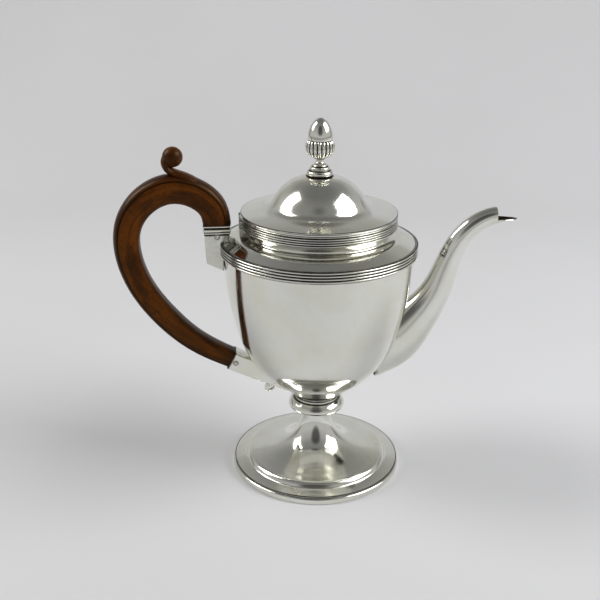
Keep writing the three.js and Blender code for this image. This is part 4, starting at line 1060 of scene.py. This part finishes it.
class POT_OT_sockets(bpy.types.Operator):
    """Silver sockets that hold the handle, with their collar, pins and drop"""

    bl_idname = "pot.sockets"
    bl_label = "Sockets"

    def box_ring(self, x0, x1, width, soft):
        """An oblong in (x, y) with softened corners, from x0 to x1 and as wide as asked."""
        return softened([(x0, -width), (x1, -width), (x1, width), (x0, width)], soft, 5)

    def execute(self, context):
        self.upper()
        self.collar()
        self.lower()
        self.pins()
        self.drop()
        return {"FINISHED"}

    def upper(self):
        """The upper socket: oblong rings down to the bowl, the lowest ones slanted like its foot."""
        low, high = span("upper_socket")
        foot, mouth = low[2], high[2]
        base = foot + 6 * MM
        z = np.linspace(mouth, base, 60)
        left = np.interp(z, [base, base + 8 * MM, mouth], [low[0] + 1.2 * MM, low[0] + 0.7 * MM, low[0]])
        wall = -(BOWL_EDGE - 0.6 * MM)
        heights = BAND_TOP + np.array([-0.5, 0.8, 2.2, 4.5]) * MM
        backs = [wall, wall + 2.4 * MM, wall + 4.4 * MM, high[0] - 1.2 * MM]
        right = np.interp(z, [*heights, mouth], [*backs, high[0]])
        width = high[1] - 0.3 * MM
        rings = []
        for level, a, b in zip(z, left, right):
            ring = self.box_ring(a, b, width, 1.0 * MM)
            drop = np.clip((base + 10 * MM - level) / (10 * MM), 0, 1) * 6 * MM
            share = (ring[:, 0] - a) / (b - a)
            rings.append(np.column_stack([ring[:, 0], ring[:, 1], level - drop * share]))
        grid = np.array(rings)
        # Painted shade just under the wood and along the side by the bowl; the whole box is a little darker,
        # towards the tarnish colour.
        under_wood = near(mouth - grid[..., 2], 1.6 * MM)
        by_body = near(grid[..., 0] - right[:, None], 1.5 * MM) * 0.5
        shade_and_grime = np.maximum(np.maximum(under_wood, by_body), 0.24)
        silver_piece("upper_socket_box", skin("socket", grid, False, shade_and_grime), ["upper_socket"], crease=40)

    def collar(self):
        """The collar: oblong rings whose size follows a moulding of a fillet, a cove and two beads."""
        low, high = span("socket_collar")
        centre = (low[0] + high[0]) / 2
        half = (high[0] - low[0]) / 2
        width = high[1]
        tall = high[2] - low[2]
        rise, inset = np.array(COLLAR_MOULDING).T
        rings = []
        for r, i in zip(rise, inset * MM):
            ring = self.box_ring(centre - half + i, centre + half - i, width - i, 0.9 * MM)
            level = low[2] - 0.3 * MM + (tall + 0.3 * MM) * r
            rings.append(np.column_stack([ring, np.full(len(ring), level)]))
        # Painted shade and tarnish where the moulding is drawn in deepest.
        mesh = skin("collar", np.array(rings), False, np.clip((inset - 0.45) * 1.8, 0, 1)[:, None])
        silver_piece("handle_collar", mesh, ["socket_collar"], crease=40)

    def lower(self):
        """The lower socket: a bar along the tilted axis whose far end follows the bowl's outside."""
        depth = HANDLE_DEPTH * HANDLE_DEPTHS[-1, 1] / 2
        width = HANDLE_WIDTH * HANDLE_WIDTHS[-1, 1] / 2
        axis = np.array([math.cos(LOW_TILT), 0, math.sin(LOW_TILT)])
        across = np.array([-axis[2], 0, axis[0]])
        run = np.linspace(0, 60 * MM, 700)
        ring = self.box_ring(-1, 1, 1, 0.16)

        def place(distance, ring):
            """The ring at a distance along the axis, its sides drawn in steadily on the way."""
            share = distance / LOW_SOCKET_LENGTH
            up = np.where(ring[:, 0] > 0, 1 - 0.2 * share, 1 - 0.1 * share) * depth * ring[:, 0]
            side = (1 - 0.3 * share) * width * ring[:, 1]
            start = np.array([HANDLE_LOW_X, 0, HANDLE_LOW_Z])
            return start + distance[..., None] * axis + up[..., None] * across + side[..., None] * [0, 1, 0]

        grid = place(np.broadcast_to(run[:, None], (700, len(ring))), ring)
        inside = np.hypot(grid[..., 0], grid[..., 1]) < bowl_radius(grid[..., 2]) - 0.4 * MM
        inside[-1] = True
        stop = run[np.argmax(inside, axis=0)]
        t = np.linspace(0, 1, 50)[:, None]
        distance = 0.1 * MM + (stop - 0.1 * MM) * t
        grid = place(distance, ring)
        # Painted shade next to the wood and where the socket meets the bowl.
        shade_and_grime = np.maximum(near(distance, 1.2 * MM), 0.8 * near(stop - distance, 1.5 * MM))
        mesh = skin("lower_socket", grid, False, shade_and_grime)
        silver_piece("lower_socket_bar", mesh, ["lower_socket"], crease=40)

    def pins(self):
        """The pins: a round bar through each socket with a ring round each end."""
        for node in ("upper_handle_pin", "lower_handle_pin"):
            low, high = span(node)
            centre = (low + high) / 2
            radius = (high[2] - low[2]) / 2
            mesh = bar(centre[0], centre[2], radius, low[1], high[1], 0.6 * MM)
            silver_piece(node + "_head", mesh, [node])
            for side in (low[1], high[1]):
                seat = side - math.copysign(0.35 * MM, side)
                inner = sorted((seat, seat - math.copysign(0.8 * MM, side)))
                ring = bar(centre[0], centre[2], radius + 0.8 * MM, inner[0], inner[1], 0.2 * MM)
                silver_piece(node + ("_ring_1" if side < 0 else "_ring_2"), ring, [], slot="worn_silver")

    def drop(self):
        """The drop: a long oval set square on the bowl under the lower socket."""
        level = HANDLE_LOW_Z + LOW_SOCKET_LENGTH * math.sin(LOW_TILT) - 1.6 * MM
        slope = float(bowl_radius(level + MM) - bowl_radius(level - MM)) / (2 * MM)
        lean = math.atan(slope)
        out = 5.8 * MM
        axis = np.array([math.cos(lean), 0, math.sin(lean)])
        across = np.array([-axis[2], 0, axis[0]])
        centre = np.array([-float(bowl_radius(level)), 0, level]) - out * axis
        polar = np.linspace(0, np.pi, 32)
        turn = np.linspace(0, 2 * np.pi, 40, endpoint=False)
        along = -np.cos(polar) * 6.5 * MM
        radius = np.sin(polar) ** 0.7 * 4.0 * MM
        radius[[0, -1]] = 0
        grid = centre + spun(radius, along, turn) @ np.array([across, (0, 1, 0), axis])
        # Painted shade where the drop meets the bowl.
        mesh = skin("drop", grid, shade_and_grime=near(along - along[-1], 3 * MM))
        silver_piece("drop", mesh, ["socket_drop"])


class POT_OT_hinge(bpy.types.Operator):
    """Barrel hinge let into the neck's band"""

    bl_idname = "pot.hinge"
    bl_label = "Hinge"

    def execute(self, context):
        low, high = span("hinge_pin")
        bore = (high[2] - low[2]) / 2 + 0.08 * MM
        for half, body, count in (("body", "pot", 3), ("lid", "lid", 2)):
            for k in range(count):
                self.barrel(f"{half}_knuckle_{k + 1}", "_barrel", body, 0.25 * MM, bore)
        self.barrel("hinge_pin", "_bar", "pot", 0.3 * MM)
        for node, slot in (
            ("hinge_box", "worn_silver"), ("lid_hinge_plate", "worn_silver"), ("finial_stud", "worn_silver"),
            ("finial_washer", "worn_silver"), ("finial_nut", "worn_silver"), ("lid_bezel", "inner_silver"),
        ):
            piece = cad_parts[node]
            piece.data.materials.clear()
            piece.data.materials.append(finish_named(slot))
        return {"FINISHED"}

    def barrel(self, node, ending, body, round_off, bore=0.0):
        """A round bar along Y as long and as thick as its CAD node, with softened ends."""
        low, high = span(node)
        x, _, z = (low + high) / 2
        mesh = bar(x, z, (high[2] - low[2]) / 2, low[1], high[1], round_off, bore)
        silver_piece(node + ending, mesh, [node], body, "worn_silver")


# ---------------------------------------------------------------- stage


# Brightness of the room by height: 0 straight down, 0.5 the horizon, 1 straight up.
ROOM_HEIGHTS = [(0.0, 0.42), (0.5, 0.53), (0.6, 0.52), (0.74, 0.42), (0.87, 0.26), (1.0, 0.17)]

DOORWAY = (-0.11, -0.86, 0.5)  # the way to the dark doorway
CAMERA_PLACE = (-0.07307, -0.61644, 0.3879)
CAMERA_ANGLES = (5.5, 21.84, 0.4)  # degrees: turned to the right, tipped down, rolled
CAMERA_LENS = 52.52  # millimetres, on a sensor 36 mm wide


def panel_light(name, place, aim, size, power, colour):
    """An oblong soft light that faces a point."""
    data = bpy.data.lights.new(name, "AREA")
    data.shape = "RECTANGLE"
    data.size, data.size_y = size
    data.energy = power
    data.color = colour
    light = bpy.data.objects.new(name, data)
    bpy.context.scene.collection.objects.link(light)
    light.location = place
    light.rotation_euler = (Vector(aim) - Vector(place)).to_track_quat("-Z", "Y").to_euler()


class POT_OT_stage(bpy.types.Operator):
    """Pale sweep, soft lights and the camera"""

    bl_idname = "pot.stage"
    bl_label = "Stage"

    def execute(self, context):
        """Sets the floor, the lights with the room, and the camera."""
        self.sweep()
        self.lights()
        self.camera(context)
        return {"FINISHED"}

    def sweep(self):
        """A floor that curls up behind the pot: a profile of a line, a quarter circle and a line."""
        n = Nodes("paper_sweep")
        place = n.coordinates.outputs["Object"]
        soft = n.noise(place, 1.6, 3.0, 0.5)
        tooth = n.noise(place, 900.0, 3.0, 0.6)
        tone = n.mix(n.ramp(soft, 0.3, 0.7), (0.70, 0.70, 0.713), (0.67, 0.67, 0.678))
        n.join(tone, n.shader.inputs["Base Color"])
        n.shader.inputs["Roughness"].default_value = 0.75
        n.shader.inputs["Specular IOR Level"].default_value = 0.2
        n.join(n.bump(tooth, 0.08, 0.0002), n.shader.inputs["Normal"])
        corner = np.linspace(0, np.pi / 2, 30)
        radius, back = 0.9, 1.6
        bend = np.stack([back - radius + radius * np.sin(corner), radius - radius * np.cos(corner)], 1)
        profile = np.concatenate([[(-3.0, 0.0)], bend, [(back, 1.0)]])
        turn = -math.radians(CAMERA_ANGLES[0])
        across = np.linspace(-4, 4, 9)
        deep = profile[:, 0][:, None]
        x = across[None, :] * math.cos(turn) - deep * math.sin(turn)
        y = across[None, :] * math.sin(turn) + deep * math.cos(turn)
        z = np.broadcast_to(profile[:, 1][:, None], x.shape)
        grid = np.stack([x, y, z], -1).reshape(-1, 3)
        index = np.arange(len(grid)).reshape(x.shape)
        faces = np.stack([index[:-1, :-1], index[:-1, 1:], index[1:, 1:], index[1:, :-1]], -1).reshape(-1, 4)
        mesh = bpy.data.meshes.new("sweep")
        mesh.from_pydata(grid.tolist(), [], faces.tolist())
        mesh.shade_smooth()
        mesh.materials.append(n.material)
        floor = bpy.data.objects.new("sweep", mesh)
        bpy.context.scene.collection.objects.link(floor)

    def lights(self):
        """Two broad windows, left and right of the pot and above it."""
        aim = (0, 0, 0.14)
        panel_light("left_window", (-1.35, 0.3, 1.3), aim, (0.7, 1.1), 16, (1, 0.995, 0.985))
        panel_light("right_window", (1.35, -0.35, 1.3), aim, (1.2, 1.1), 25, (0.985, 0.99, 1))
        self.room()

    def room(self):
        """The room that the silver mirrors: pale walls, a dim ceiling and a dark doorway before the pot."""
        world = bpy.data.worlds.new("studio")
        bpy.context.scene.world = world
        world.use_nodes = True
        tree = world.node_tree
        place = tree.nodes.new("ShaderNodeTexCoord")
        parts = tree.nodes.new("ShaderNodeSeparateXYZ")
        tree.links.new(place.outputs["Generated"], parts.inputs[0])

        def ramp(source, stops):
            """A warm grey that eases through the brightness at each stop."""
            node = tree.nodes.new("ShaderNodeValToRGB")
            node.color_ramp.interpolation = "EASE"
            while len(node.color_ramp.elements) < len(stops):
                node.color_ramp.elements.new(0.5)
            for element, (at, value) in zip(node.color_ramp.elements, stops):
                element.position = at
                element.color = (value, value * 0.995, value * 0.98, 1)
            tree.links.new(source, node.inputs[0])
            return node.outputs["Color"]

        height = tree.nodes.new("ShaderNodeMapRange")
        height.inputs["From Min"].default_value = -1
        tree.links.new(parts.outputs["Z"], height.inputs["Value"])
        walls = ramp(height.outputs["Result"], ROOM_HEIGHTS)
        ahead = tree.nodes.new("ShaderNodeVectorMath")
        ahead.operation = "DOT_PRODUCT"
        ahead.inputs[1].default_value = DOORWAY
        tree.links.new(place.outputs["Generated"], ahead.inputs[0])
        dark = tree.nodes.new("ShaderNodeMapRange")
        dark.interpolation_type = "SMOOTHSTEP"
        for label, value in (("From Min", 0.88), ("From Max", 0.98), ("To Min", 1.0), ("To Max", 0.22)):
            dark.inputs[label].default_value = value
        tree.links.new(ahead.outputs["Value"], dark.inputs["Value"])
        scaled = tree.nodes.new("ShaderNodeVectorMath")
        scaled.operation = "SCALE"
        tree.links.new(walls, scaled.inputs[0])
        tree.links.new(dark.outputs["Result"], scaled.inputs["Scale"])
        tree.links.new(scaled.outputs[0], tree.nodes["Background"].inputs["Color"])
        tree.nodes["Background"].inputs["Strength"].default_value = 1.0

    def camera(self, context):
        """The camera: turned off the front, tipped down and rolled by the three angles, in that order."""
        turn, pitch, roll = (math.radians(angle) for angle in CAMERA_ANGLES)
        data = bpy.data.cameras.new("camera")
        data.lens = CAMERA_LENS
        data.sensor_width = 36
        data.clip_start = 0.01
        camera = bpy.data.objects.new("camera", data)
        context.scene.collection.objects.link(camera)
        ahead = Vector((math.sin(turn) * math.cos(pitch), math.cos(turn) * math.cos(pitch), -math.sin(pitch)))
        right = Vector((math.cos(turn), -math.sin(turn), 0))
        up = right.cross(ahead)
        x = right * math.cos(roll) + up * math.sin(roll)
        y = up * math.cos(roll) - right * math.sin(roll)
        basis = Matrix((x, y, -ahead)).transposed().to_4x4()
        basis.translation = Vector(CAMERA_PLACE)
        camera.matrix_world = basis
        context.scene.camera = camera
        context.scene.view_settings.view_transform = "Standard"


class POT_PT_panel(bpy.types.Panel):
    """Lists the pot's pieces, sizes and finishes"""

    bl_idname = "POT_PT_panel"
    bl_label = "Coffee Pot"
    bl_space_type = "VIEW_3D"
    bl_region_type = "UI"
    bl_category = "Coffee Pot"

    def draw(self, context):
        """A box of settings for each group, then a button for each operator."""
        for group in (context.scene.pot_sizes, context.scene.pot_finish):
            box = self.layout.box()
            for name in group.bl_rna.properties.keys():
                if name not in ("rna_type", "name"):
                    box.prop(group, name)
        column = self.layout.column(align=True)
        for operator in OPERATORS:
            column.operator(operator.bl_idname)


OPERATORS = (
    POT_OT_foot, POT_OT_body, POT_OT_lid, POT_OT_finial, POT_OT_spout, POT_OT_handle, POT_OT_sockets,
    POT_OT_hinge, POT_OT_stage,
)
CLASSES = (PotFinish, PotSizes, *OPERATORS, POT_PT_panel)


def register():
    """Adds the operators, the panel and the settings."""
    for kind in CLASSES:
        bpy.utils.register_class(kind)
    bpy.types.Scene.pot_finish = bpy.props.PointerProperty(type=PotFinish)
    bpy.types.Scene.pot_sizes = bpy.props.PointerProperty(type=PotSizes)


def unregister():
    """Takes them away again, last first."""
    del bpy.types.Scene.pot_sizes
    del bpy.types.Scene.pot_finish
    for kind in reversed(CLASSES):
        bpy.utils.unregister_class(kind)


def main():
    """Builds every piece and the stage."""
    register()
    for operator in OPERATORS:
        family, name = operator.bl_idname.split(".")
        getattr(getattr(bpy.ops, family), name)()


if __name__ == "__main__":
    main()
